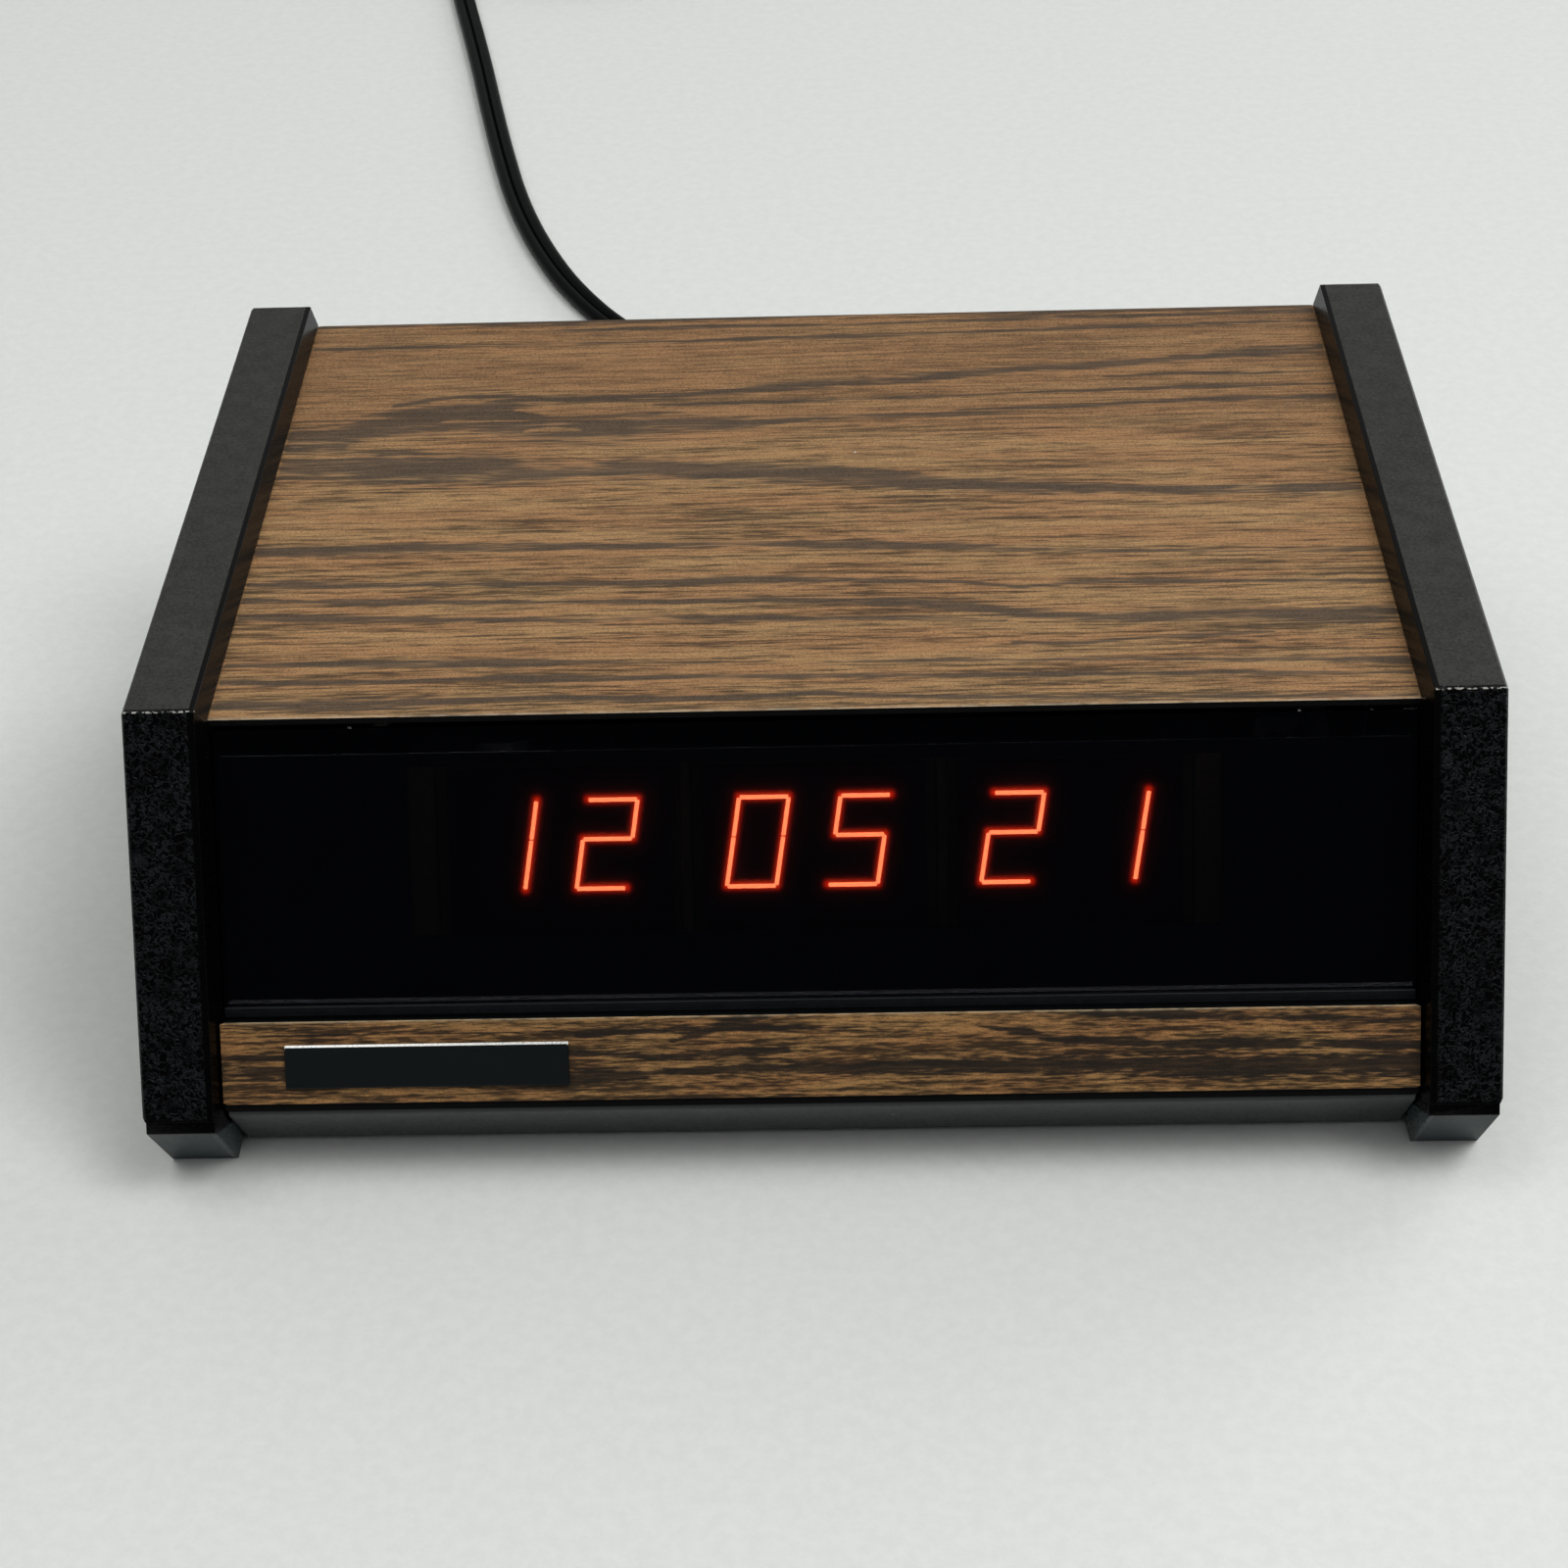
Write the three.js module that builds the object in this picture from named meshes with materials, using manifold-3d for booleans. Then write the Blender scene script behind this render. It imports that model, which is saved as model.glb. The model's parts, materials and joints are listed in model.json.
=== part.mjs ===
// A shelf alarm clock with three glowing two-digit tubes behind a smoked lens.
// Millimetres, +Z up. X runs along the clock, the face looks towards -Y, and the
// origin lies on the table under the middle of the case.

import * as THREE from 'three';
import { mergeVertices } from 'three/addons/utils/BufferGeometryUtils.js';
import Module from 'manifold-3d';

const wasm = await Module();
wasm.setup();

// Case, driving sizes
const caseWidth = 190;
const topDepth = 118;
const faceLength = 58.1;
const faceLean = THREE.MathUtils.degToRad(28.5);
const bandLength = 1.65;
const bandInset = 0.4;
const footHeight = 13.73;
const footRun = 9.31;

// Fits
const fit = 0.3;
const innerRoom = 1.5;
const overrun = 2;
const mergeDistance = 1e-4;

// End panels
const rimWidth = 10.1;
const rimBevel = 1;
const rimDepth = 4;
const panelSkin = 3.4;
const panelEdge = 0.4;
const pocketMargin = 10.5;
const pocketRib = 2.2;
const pocketRibCount = 2;
const grooveDepth = 2.2;
const bossRadius = 4.2;
const pilotRadius = 1.3;
const pilotRoom = 0.6;

// Folded sheet metal
const sheet = 1;
const foldRadius = 0.8;
const foldSteps = 4;

// Base pan
const panClearance = 1;
const slopeInset = 3.1;
const lipBelowStripTop = 0.1;
const sideFlange = 15;
const flangeFrontSetback = 22;
const flangeRearGap = 1;
const flangeScrewHeight = 9;
const flangeScrewFront = 14;
const flangeScrewRear = 12;
const flangeHoleRadius = 1.9;
const screwHeadRadius = 3.1;
const screwHeadHeight = 1.8;
const screwRadius = 1;
const screwLength = 7;
const headCrownShare = 0.55;

// Rear panel
const rearRecess = 8;
const rearFlange = 9;

// Cover
const coverRearProud = 0.6;
const coverFrontSetback = 3.5;
const coverCornerRadius = 2.6;

// Front: places are measured down the face from the top edge, and in from its plane
const lensRecess = 5.2;
const lensThickness = 2;
const lensTop = 3.4;
const sillRecess = 4.3;
const sillDepth = 4.5;
const sillHeight = 1.5;
const sillLegThickness = 1.2;
const sillLegLength = 6;
const stripRecess = 2.6;
const stripThickness = 0.8;
const stripHeight = 12.1;
const stripAboveEdge = 1.6;
const stripCorner = 0.4;
const plateWidth = 40;
const plateHeight = 6.2;
const plateThickness = 0.5;
const plateFromEnd = 8.7;
const plateBelowTop = 3.3;

// Display
const shieldBehindLens = 1.1;
const shieldThickness = 0.5;
const shieldTop = 7.3;
const windowWidth = 114;
const windowTop = 9.3;
const windowAboveLensBottom = 8.9;
const tubeGap = 1.4;
const tubeWidth = 34.6;
const tubeTop = 8.9;
const tubeHeight = 27;
const tubeBehindShield = 0.4;
const tubeFrontPlate = 2;
const tubeBackPlate = 2.6;
const tubePlateStep = 1.5;
const tubeTipRadius = 1.9;
const tubeTipLength = 3.2;
const pinPitch = 2.54;
const pinWidth = 0.5;
const pinLength = 4.6;
const socketHeight = 5;
const socketDepth = 5.6;
const boardThickness = 1.6;
const displayBoardWidth = 124;
const displayBoardTop = 9;
const displayBoardHeight = 33;
const bracketWidth = 9;
const bracketFoot = 12;
const bracketInset = 4;
const bracketAboveBoard = 3;

// Main board and what stands on it
const boardRoom = 3;
const mainBoardDepth = 28;
const mainBoardRearSetback = 50;
const spacerHeight = 7;
const spacerRadius = 2.6;
const spacerInset = 5;
const boardHoleRadius = 1.7;
const chipLength = 36;
const chipWidth = 13.4;
const chipThickness = 3.8;
const chipLegPitch = 2.54;
const chipLegWidth = 0.7;
const chipLegThickness = 0.4;
const chipSocketHeight = 3.4;
const bigCapRadius = 8;
const bigCapHeight = 18;
const smallCapRadius = 5.5;
const smallCapHeight = 13;
const capGroove = 0.6;
const capFromChip = 3;
const capFromRear = 9;
const chipFromRear = 11;
const crimpShare = 0.14;
const tipWaistShare = 0.6;

// Transformer
const coreWidth = 44;
const coreHeight = 37;
const coreStack = 15;
const coreLeg = 7.4;
const coreMiddleLeg = 14.6;
const coilReach = 7;
const strapWidth = 12;
const strapEar = 9;
const transformerRearSetback = 42;

// Speaker, which looks down through slots in the pan
const speakerRadius = 28.5;
const speakerDepth = 17;
const speakerRim = 3.6;
const speakerRimHeight = 2;
const speakerWall = 0.9;
const speakerBackRadius = 13;
const speakerWindows = 4;
const speakerWindowRadius = 4.4;
const magnetRadius = 15;
const magnetHeight = 9;
const magnetBoreRadius = 6.5;
const poleRadius = 5;
const coneWall = 0.8;
const coneThroatRadius = 4;
const coneDepth = 10;
const coneLift = 1.4;
const slotCount = 7;
const slotWidth = 2.4;
const slotPitch = 6;
const slotLength = 40;

// Rear controls
const controlHeight = 37;
const buttonPitch = 15;
const firstButtonFromEnd = 13;
const buttonNames = ['fast_set', 'slow_set', 'alarm_set', 'snooze'];
const bushingRadius = 4.9;
const bushingReach = 1.2;
const nutRadius = 6.4;
const nutThickness = 1.5;
const buttonBody = 12.4;
const buttonBodyDepth = 13;
const stemRadius = 2.9;
const stemRoom = 0.4;
const stemLength = 9;
const capRadius = 4.3;
const capHeight = 2.6;
const capDome = 0.7;
const buttonTravel = 1.8;
const lugWidth = 2;
const lugLength = 4;
const lugThickness = 0.6;
const switchNames = ['alarm', 'format'];
const switchGap = 3;
const lastSwitchFromEnd = 4;
const switchPlateWidth = 24;
const switchPlateHeight = 8.6;
const switchBodyWidth = 15;
const switchBodyHeight = 8.2;
const switchBodyDepth = 7;
const knobWidth = 4;
const knobHeight = 4.4;
const knobReach = 3.4;
const knobRibs = 3;
const knobRibDepth = 0.5;
const carriageWidth = 7;
const carriageHeight = 6;
const carriageDepth = 2;
const switchTravel = 4;
const ventCount = 9;
const ventWidth = 2.2;
const ventHeight = 13;
const ventPitch = 4.6;
const ventFromEnd = 27.9;
const ventFoot = 9;

// Supply lead
const leadWidth = 5.5;
const leadThickness = 2.9;
const leadSides = 10;
const leadStepWidths = 2;
const leadExitX = 10;
const leadExitHeight = 15;
const leadRunHeight = 1.7;
const reliefFlangeRadius = 6;
const reliefFlange = 2.4;
const reliefNeckRadius = 4.3;
const reliefInside = 5;
const reliefLength = 27;
const reliefEndWidth = 7.2;
const reliefEndThickness = 4.6;
const reliefRings = 5;
const reliefGroove = 0.7;
const grooveShare = 0.35;
const coilInnerRadius = 22;
const coilTurnPitch = 6;
const coilLayerPitch = 3.5;
const coilTurns = 7.25;
const climbTurnShare = 0.5;
const coilSteps = 24;
const coilHeight = 2.4;
const coilTailLength = 31;
const tieWidth = 5;
const tieThickness = 0.6;
const tieSlack = 0.5;
const tieAngle = THREE.MathUtils.degToRad(140);
const plugLength = 27;
const plugWidth = 23;
const plugThickness = 11.4;
const plugGrip = 6;
const plugCornerShare = 0.3;
const plugNoseLength = 8;
const plugNoseWidth = 8.6;
const plugNoseThickness = 6;
const bladeWidth = 6.35;
const bladeThickness = 1.5;
const bladeLength = 17;
const bladeSpacing = 12.7;
const bladeSeat = 5;
const bladeHoleRadius = 1.6;
const bladeHoleFromTip = 3.6;

// Places worked out from the sizes above
const halfWidth = caseWidth / 2;
const innerX = halfWidth - rimWidth - rimBevel;
const sinLean = Math.sin(faceLean);
const cosLean = Math.cos(faceLean);
const height = (faceLength + bandLength) * cosLean + bandInset * sinLean + footHeight;
const noseRun = (faceLength + bandLength) * sinLean - bandInset * cosLean;
const frontTopY = noseRun - (topDepth + noseRun) / 2;
const rearY = frontTopY + topDepth;
const coverTop = height - rimDepth;
const panFloor = panClearance + sheet;
const rearFace = rearY - rearRecess;
const rearInner = rearFace - sheet;
const spanX = innerX - fit;
const stripBottom = faceLength - stripAboveEdge;
const stripTop = stripBottom - stripHeight;
const lipTop = stripTop + lipBelowStripTop;
const lensBottom = stripTop - fit - sillHeight - fit;
const windowBottom = lensBottom - windowAboveLensBottom;
const lipRecess = stripRecess + stripThickness + fit;
const shieldRecess = lensRecess + lensThickness + shieldBehindLens;
const tubeRecess = shieldRecess + shieldThickness + tubeBehindShield;
const flangeFront = frontTopY - noseRun + flangeFrontSetback;
const flangeRear = rearFace - rearFlange - flangeRearGap;
const flangeScrews = [
  [flangeFront + flangeScrewFront, panClearance + flangeScrewHeight],
  [flangeRear - flangeScrewRear, panClearance + flangeScrewHeight],
];
const pilotEnd = spanX - sheet - fit + screwLength + pilotRoom;
const speakerCentreX = speakerRadius + innerRoom + sheet - spanX;
const speakerY = rearFace - rearFlange - innerRoom - speakerRadius;
const transformerCentreX = spanX - sheet - innerRoom - strapEar - sheet - fit - coreWidth / 2;

// The lead's way along the table to its coil: sideways and back from the end of its boot,
// and the share of the drop that is still to come
const leadStart = rearFace + fit + reliefLength + fit;
const leadRoute = [
  [0, 0, 1], [0, 5.3, 0.985], [0, 12.3, 0.85], [0, 19.8, 0.571], [-0.4, 27.3, 0.263],
  [-2.2, 34.3, 0.075], [-5.4, 40.8, 0.008], [-10, 47.3, 0], [-16, 54.3, 0], [-23.5, 62.3, 0],
  [-31.5, 69.8, 0], [-39.8, 77.3, 0], [-47.6, 85.1, 0], [-54.6, 93.9, 0], [-60.4, 103.3, 0],
  [-66.2, 114.8, 0], [-71.8, 128.8, 0], [-76.4, 142.8, 0], [-80.4, 157.8, 0], [-84, 174.3, 0],
  [-87.4, 191.3, 0], [-90.8, 209.3, 0], [-94.5, 229.3, 0], [-98.6, 250.3, 0],
  [-102.6, 270.3, 0], [-106, 289.3, 0.008], [-108, 305.3, 0.03], [-108.5, 314.3, 0.053],
  [-108.5, 321.5, 0.053],
].map(([x, y, dropShare]) => (
  [leadExitX + x, leadStart + y, THREE.MathUtils.lerp(leadRunHeight, leadExitHeight, dropShare)]));

const clock = new THREE.Group();

const paint = {
  panel: { color: 0x1b1c1c, roughness: 0.62, metalness: 0 },
  wood: { color: 0x7a5436, roughness: 0.5, metalness: 0 },
  steel: { color: 0x17181a, roughness: 0.5, metalness: 0.2 },
  plating: { color: 0xb4b6b8, roughness: 0.35, metalness: 0.9 },
  lens: { color: 0x07060a, roughness: 0.06, metalness: 0 },
  plate: { color: 0x101214, roughness: 0.4, metalness: 0.5 },
  shield: { color: 0x0a0a0a, roughness: 0.8, metalness: 0 },
  glass: { color: 0x4a4340, roughness: 0.1, metalness: 0 },
  board: { color: 0x5d6b2e, roughness: 0.6, metalness: 0 },
  black: { color: 0x141414, roughness: 0.5, metalness: 0 },
  chip: { color: 0x202124, roughness: 0.55, metalness: 0 },
  capacitor: { color: 0x24405e, roughness: 0.4, metalness: 0.1 },
  core: { color: 0x5b5e60, roughness: 0.55, metalness: 0.7 },
  winding: { color: 0x9a6a2f, roughness: 0.55, metalness: 0.2 },
  brass: { color: 0xb08d4a, roughness: 0.3, metalness: 0.9 },
  magnet: { color: 0x3a3b3d, roughness: 0.6, metalness: 0.3 },
  cone: { color: 0x2a2622, roughness: 0.9, metalness: 0 },
  button: { color: 0x1d1d1e, roughness: 0.4, metalness: 0 },
  lead: { color: 0x0d0f0d, roughness: 0.4, metalness: 0 },
};

// Positive where the faces point outwards
function signedVolume(points, faces) {
  const [a, b, c] = [new THREE.Vector3(), new THREE.Vector3(), new THREE.Vector3()];
  let volume = 0;
  for (let i = 0; i < faces.length; i += 3) {
    a.fromArray(points, faces[i] * 3);
    b.fromArray(points, faces[i + 1] * 3);
    c.fromArray(points, faces[i + 2] * 3);
    volume += a.dot(b.cross(c)) / 6;
  }
  return volume;
}

// Turns a geometry into a solid that can be cut and joined
function solid(geometry) {
  const bare = geometry.clone();
  bare.deleteAttribute('normal');
  bare.deleteAttribute('uv');
  const merged = mergeVertices(bare, mergeDistance);
  const points = merged.attributes.position.array;
  const faces = new Uint32Array(merged.index.array);
  if (signedVolume(points, faces) < 0) {
    for (let i = 0; i < faces.length; i += 3) [faces[i], faces[i + 1]] = [faces[i + 1], faces[i]];
  }
  return new wasm.Manifold(new wasm.Mesh({
    numProp: 3,
    vertProperties: new Float32Array(points),
    triVerts: faces,
  }));
}

function join(...parts) {
  return parts.reduce((whole, part) => whole.add(part));
}

function cut(body, ...tools) {
  return tools.reduce((whole, tool) => whole.subtract(tool), body);
}

function geometryOf(body) {
  const mesh = body.getMesh();
  const geometry = new THREE.BufferGeometry();
  geometry.setAttribute('position', new THREE.BufferAttribute(mesh.vertProperties, 3));
  geometry.setIndex(new THREE.BufferAttribute(mesh.triVerts, 1));
  const flat = geometry.toNonIndexed();
  flat.computeVertexNormals();
  return flat;
}

function add(name, shape, look, parent = clock) {
  const geometry = shape.isBufferGeometry ? shape : geometryOf(shape);
  const mesh = new THREE.Mesh(geometry, new THREE.MeshStandardMaterial(paint[look]));
  mesh.name = name;
  parent.add(mesh);
  return mesh;
}

// A block between two corners
function block(x0, x1, y0, y1, z0, z1) {
  const geometry = new THREE.BoxGeometry(x1 - x0, y1 - y0, z1 - z0);
  geometry.translate((x0 + x1) / 2, (y0 + y1) / 2, (z0 + z1) / 2);
  return solid(geometry);
}

function extrusion(points, depth, holes = []) {
  const shape = new THREE.Shape(points.map(([a, b]) => new THREE.Vector2(a, b)));
  for (const hole of holes) {
    shape.holes.push(new THREE.Path(hole.map(([a, b]) => new THREE.Vector2(a, b))));
  }
  return new THREE.ExtrudeGeometry(shape, { depth, bevelEnabled: false });
}

// An outline in Y and Z, carried along X
function alongX(points, x0, x1) {
  const geometry = extrusion(points, x1 - x0);
  geometry.applyMatrix4(new THREE.Matrix4().set(0, 0, 1, x0, 1, 0, 0, 0, 0, 1, 0, 0, 0, 0, 0, 1));
  return solid(geometry);
}

// An outline in X and Z, carried along Y
function alongY(points, y0, y1) {
  const geometry = extrusion(points, y1 - y0);
  geometry.applyMatrix4(new THREE.Matrix4().set(1, 0, 0, 0, 0, 0, -1, y1, 0, 1, 0, 0, 0, 0, 0, 1));
  return solid(geometry);
}

// An outline in X and Y, carried up Z
function alongZ(points, z0, z1) {
  const geometry = extrusion(points, z1 - z0);
  geometry.translate(0, 0, z0);
  return solid(geometry);
}

// A round bar along one axis, from a start point
function bar(axis, start, length, radius, sides = 24) {
  const geometry = new THREE.CylinderGeometry(radius, radius, length, sides);
  geometry.translate(0, length / 2, 0);
  if (axis === 'x') geometry.rotateZ(-Math.PI / 2);
  if (axis === 'z') geometry.rotateX(Math.PI / 2);
  geometry.translate(...start);
  return solid(geometry);
}

// A turned piece whose axis points along Y; its profile is radius, then distance
function turnedY(profile, start, sides = 24) {
  const geometry = new THREE.LatheGeometry(profile.map(([r, h]) => new THREE.Vector2(r, h)), sides);
  geometry.translate(...start);
  return solid(geometry);
}

function turnedZ(profile, start, sides = 24) {
  const geometry = new THREE.LatheGeometry(profile.map(([r, h]) => new THREE.Vector2(r, h)), sides);
  geometry.rotateX(Math.PI / 2);
  geometry.translate(...start);
  return solid(geometry);
}

function ringOutline(centreA, centreB, radius, sides, start = 0) {
  return Array.from({ length: sides }, (_, i) => {
    const angle = start + (2 * Math.PI * i) / sides;
    return [centreA + radius * Math.cos(angle), centreB + radius * Math.sin(angle)];
  });
}

function roundedOutline(a0, a1, b0, b1, radius, steps = 4) {
  const corners = [[a1 - radius, b1 - radius], [a0 + radius, b1 - radius],
    [a0 + radius, b0 + radius], [a1 - radius, b0 + radius]];
  return corners.flatMap(([a, b], quarter) => Array.from({ length: steps + 1 }, (_, i) => {
    const angle = (quarter + i / steps) * Math.PI / 2;
    return [a + radius * Math.cos(angle), b + radius * Math.sin(angle)];
  }));
}

// Where two lines, each through two points, cross
function crossing([p, q], [r, s]) {
  const u = [q[0] - p[0], q[1] - p[1]];
  const v = [s[0] - r[0], s[1] - r[1]];
  const t = ((r[0] - p[0]) * v[1] - (r[1] - p[1]) * v[0]) / (u[0] * v[1] - u[1] * v[0]);
  return [p[0] + u[0] * t, p[1] + u[1] * t];
}

// An outline drawn in by its own distance on each side, anticlockwise
function drawnIn(points, distances) {
  const lines = points.map((p, i) => {
    const q = points[(i + 1) % points.length];
    const length = Math.hypot(q[0] - p[0], q[1] - p[1]);
    const shift = [-(q[1] - p[1]) / length * distances[i], (q[0] - p[0]) / length * distances[i]];
    return [[p[0] + shift[0], p[1] + shift[1]], [q[0] + shift[0], q[1] + shift[1]]];
  });
  return lines.map((line, i) => crossing(lines[(i + lines.length - 1) % lines.length], line));
}

// The outline of a folded sheet, from the line of one face. Its thickness lies to
// the left, and each fold has the fold radius inside and a sheet more outside.
function folded(points, thickness = sheet, radius = foldRadius) {
  const near = [];
  const far = [];
  const heading = (p, q) => {
    const length = Math.hypot(q[0] - p[0], q[1] - p[1]);
    return [(q[0] - p[0]) / length, (q[1] - p[1]) / length];
  };
  points.forEach((p, i) => {
    const before = i > 0 ? heading(points[i - 1], p) : null;
    const after = i < points.length - 1 ? heading(p, points[i + 1]) : null;
    if (!before || !after) {
      const [a, b] = before ?? after;
      near.push(p);
      far.push([p[0] - b * thickness, p[1] + a * thickness]);
      return;
    }
    const turn = Math.atan2(before[0] * after[1] - before[1] * after[0],
      before[0] * after[0] + before[1] * after[1]);
    const side = Math.sign(turn);
    const nearRadius = side > 0 ? radius + thickness : radius;
    const farRadius = side > 0 ? radius : radius + thickness;
    const back = nearRadius * Math.tan(Math.abs(turn) / 2);
    const start = [p[0] - before[0] * back, p[1] - before[1] * back];
    const centre = [start[0] - before[1] * nearRadius * side, start[1] + before[0] * nearRadius * side];
    for (let step = 0; step <= foldSteps; step += 1) {
      const angle = turn * step / foldSteps;
      const out = [before[1] * side, -before[0] * side];
      const ray = [out[0] * Math.cos(angle) - out[1] * Math.sin(angle),
        out[0] * Math.sin(angle) + out[1] * Math.cos(angle)];
      near.push([centre[0] + ray[0] * nearRadius, centre[1] + ray[1] * nearRadius]);
      far.push([centre[0] + ray[0] * farRadius, centre[1] + ray[1] * farRadius]);
    }
  });
  return near.concat(far.reverse());
}

// Rings of points, each a closed loop, joined into one closed skin
function skin(rings) {
  const sides = rings[0].length;
  const positions = rings.flat(2);
  const faces = [];
  const at = (ring, side) => ring * sides + (side % sides);
  for (let ring = 0; ring < rings.length - 1; ring += 1) {
    for (let side = 0; side < sides; side += 1) {
      faces.push(at(ring, side), at(ring, side + 1), at(ring + 1, side + 1));
      faces.push(at(ring, side), at(ring + 1, side + 1), at(ring + 1, side));
    }
  }
  const last = rings.length - 1;
  for (let side = 1; side < sides - 1; side += 1) {
    faces.push(at(0, 0), at(0, side + 1), at(0, side));
    faces.push(at(last, 0), at(last, side), at(last, side + 1));
  }
  const geometry = new THREE.BufferGeometry();
  geometry.setAttribute('position', new THREE.BufferAttribute(new Float32Array(positions), 3));
  geometry.setIndex(faces);
  return geometry;
}

// A point of the leaning face: how far in from its plane, and how far down it
function onFace(recess, down) {
  return [frontTopY + recess * cosLean - down * sinLean, height - recess * sinLean - down * cosLean];
}

// The case seen from its end, anticlockwise from the front of the foot
const footNose = onFace(bandInset, faceLength + bandLength);
const footRear = rearY - bandInset;
const caseOutline = [
  [footNose[0] + footRun, 0],
  [footRear - footRun, 0],
  [footRear, footHeight],
  [footRear, height],
  crossing([onFace(bandInset, 0), footNose], [[0, height], [rearY, height]]),
  footNose,
];

// End panels: a rimmed moulding with its foot set in below the band
function endPanel(side) {
  const span = (a, b) => (side > 0 ? [a, b] : [-b, -a]);
  const faceFoot = onFace(0, faceLength);
  const upper = [faceFoot, [rearY, faceFoot[1]], [rearY, height], [frontTopY, height]];
  const lower = [caseOutline[0], caseOutline[1], caseOutline[2], [footRear, faceFoot[1] + overrun],
    onFace(bandInset, faceLength - overrun), footNose];
  const rimmed = drawnIn(upper, upper.map(() => panelEdge));
  const outside = halfWidth;
  const upperSkin = [[innerX, upper], [outside - panelEdge, upper], [outside, rimmed]];
  const rings = upperSkin.map(([x, outline]) => outline.map(([y, z]) => [side * x, y, z]));
  if (side < 0) rings.reverse();
  const body = join(solid(skin(rings)), alongX(lower, ...span(innerX, outside - bandInset)));

  // The rim's inner wall leans in by the bevel over the rim's depth
  const reach = (outside - innerX) / rimBevel;
  const depths = (share) => [rimDepth, rimDepth, -overrun, rimDepth, rimDepth, rimDepth]
    .map((depth, i) => (i === 2 ? depth : depth * share - (i === 4 ? bandInset : 0)));
  const narrow = drawnIn(caseOutline, depths(1)).map(([y, z]) => [side * innerX, y, z]);
  const wide = drawnIn(caseOutline, depths(1 - reach)).map(([y, z]) => [side * outside, y, z]);
  const bevel = solid(skin(side > 0 ? [narrow, wide] : [wide, narrow]));

  // Grooves for the cover and the lens, and pockets between ribs
  const groove = span(innerX - overrun, innerX + grooveDepth);
  const coverGroove = block(...groove, frontTopY + coverFrontSetback - fit, rearY + overrun,
    coverTop - sheet - fit, coverTop + fit);
  const lensGroove = alongX([onFace(lensRecess - fit, lensBottom + fit),
    onFace(lensRecess + lensThickness + fit, lensBottom + fit),
    onFace(lensRecess + lensThickness + fit, lensTop - fit),
    onFace(lensRecess - fit, lensTop - fit)], ...groove);
  const pocketArea = drawnIn(caseOutline, caseOutline.map(() => pocketMargin));
  const pocket = cut(alongX(pocketArea, ...span(innerX - overrun, outside - panelSkin)),
    ...Array.from({ length: pocketRibCount }, (_, i) => {
      const y = frontTopY + topDepth * (i + 1) / (pocketRibCount + 1);
      return block(...span(innerX - overrun, outside), y - pocketRib / 2, y + pocketRib / 2, 0, height);
    }),
    ...flangeScrews.map(([y, z]) => bar('x', [span(innerX - overrun, outside)[0], y, z],
      outside - innerX + overrun, bossRadius, 16)));
  const pilots = flangeScrews.map(([y, z]) => (
    bar('x', [span(innerX - overrun, pilotEnd)[0], y, z], pilotEnd - innerX + overrun, pilotRadius, 10)));
  return cut(body.intersect(bevel), coverGroove, lensGroove, pocket, ...pilots);
}

// Base pan: a front lip behind the wood strip, a sloped front, a floor and side flanges
function basePan() {
  const slope = drawnIn(caseOutline, [panClearance, 0, 0, 0, 0, slopeInset]);
  const lipLine = [onFace(lipRecess, lipTop), onFace(lipRecess, faceLength)];
  const line = [
    lipLine[0],
    crossing(lipLine, [slope[5], slope[0]]),
    slope[0],
    [flangeFront - overrun / 2, panClearance],
  ];
  const frontFold = alongX(folded(line), -spanX, spanX);
  const tray = alongY(folded([[-spanX, panClearance + sideFlange], [-spanX, panClearance],
    [spanX, panClearance], [spanX, panClearance + sideFlange]]), flangeFront, flangeRear);
  const floor = block(-spanX + sheet + foldRadius, spanX - sheet - foldRadius,
    flangeFront - overrun, rearFace, panClearance, panFloor);
  const slots = Array.from({ length: slotCount }, (_, i) => {
    const y = speakerY + (i - (slotCount - 1) / 2) * slotPitch;
    return alongZ(roundedOutline(speakerCentreX - slotLength / 2, speakerCentreX + slotLength / 2,
      y - slotWidth / 2, y + slotWidth / 2, slotWidth / 2 - fit / 2), -overrun, panFloor + overrun);
  });
  const holes = flangeScrews.map(([y, z]) => bar('x', [-halfWidth, y, z], caseWidth, flangeHoleRadius, 16));
  return cut(join(frontFold, tray, floor), ...slots, ...holes);
}

// A pan-head screw holds each side flange of the pan to an end panel's boss
const screwProfile = [[0, 0], [screwHeadRadius * headCrownShare, 0],
  [screwHeadRadius, screwHeadHeight * headCrownShare], [screwHeadRadius, screwHeadHeight],
  [screwRadius, screwHeadHeight], [screwRadius, screwHeadHeight + screwLength],
  [0, screwHeadHeight + screwLength]];

function endScrew(side, [y, z]) {
  const geometry = new THREE.LatheGeometry(screwProfile.map(([r, h]) => new THREE.Vector2(r, h)), 12);
  geometry.rotateZ(-side * Math.PI / 2);
  geometry.translate(side * (spanX - sheet - fit - screwHeadHeight), y, z);
  return solid(geometry);
}

// Cover: one flat sheet, square at the front and with small round corners behind
function topCover() {
  const edge = innerX + grooveDepth - fit;
  const back = rearY + coverRearProud;
  const corner = (side) => Array.from({ length: foldSteps + 1 }, (_, i) => {
    const angle = Math.PI / 2 * (side > 0 ? i / foldSteps : 1 + i / foldSteps);
    return [side * (edge - coverCornerRadius) + coverCornerRadius * Math.cos(angle),
      back - coverCornerRadius + coverCornerRadius * Math.sin(angle)];
  });
  const start = frontTopY + coverFrontSetback;
  return alongZ([[-edge, start], [edge, start], ...corner(1), ...corner(-1)], coverTop - sheet, coverTop);
}

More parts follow.
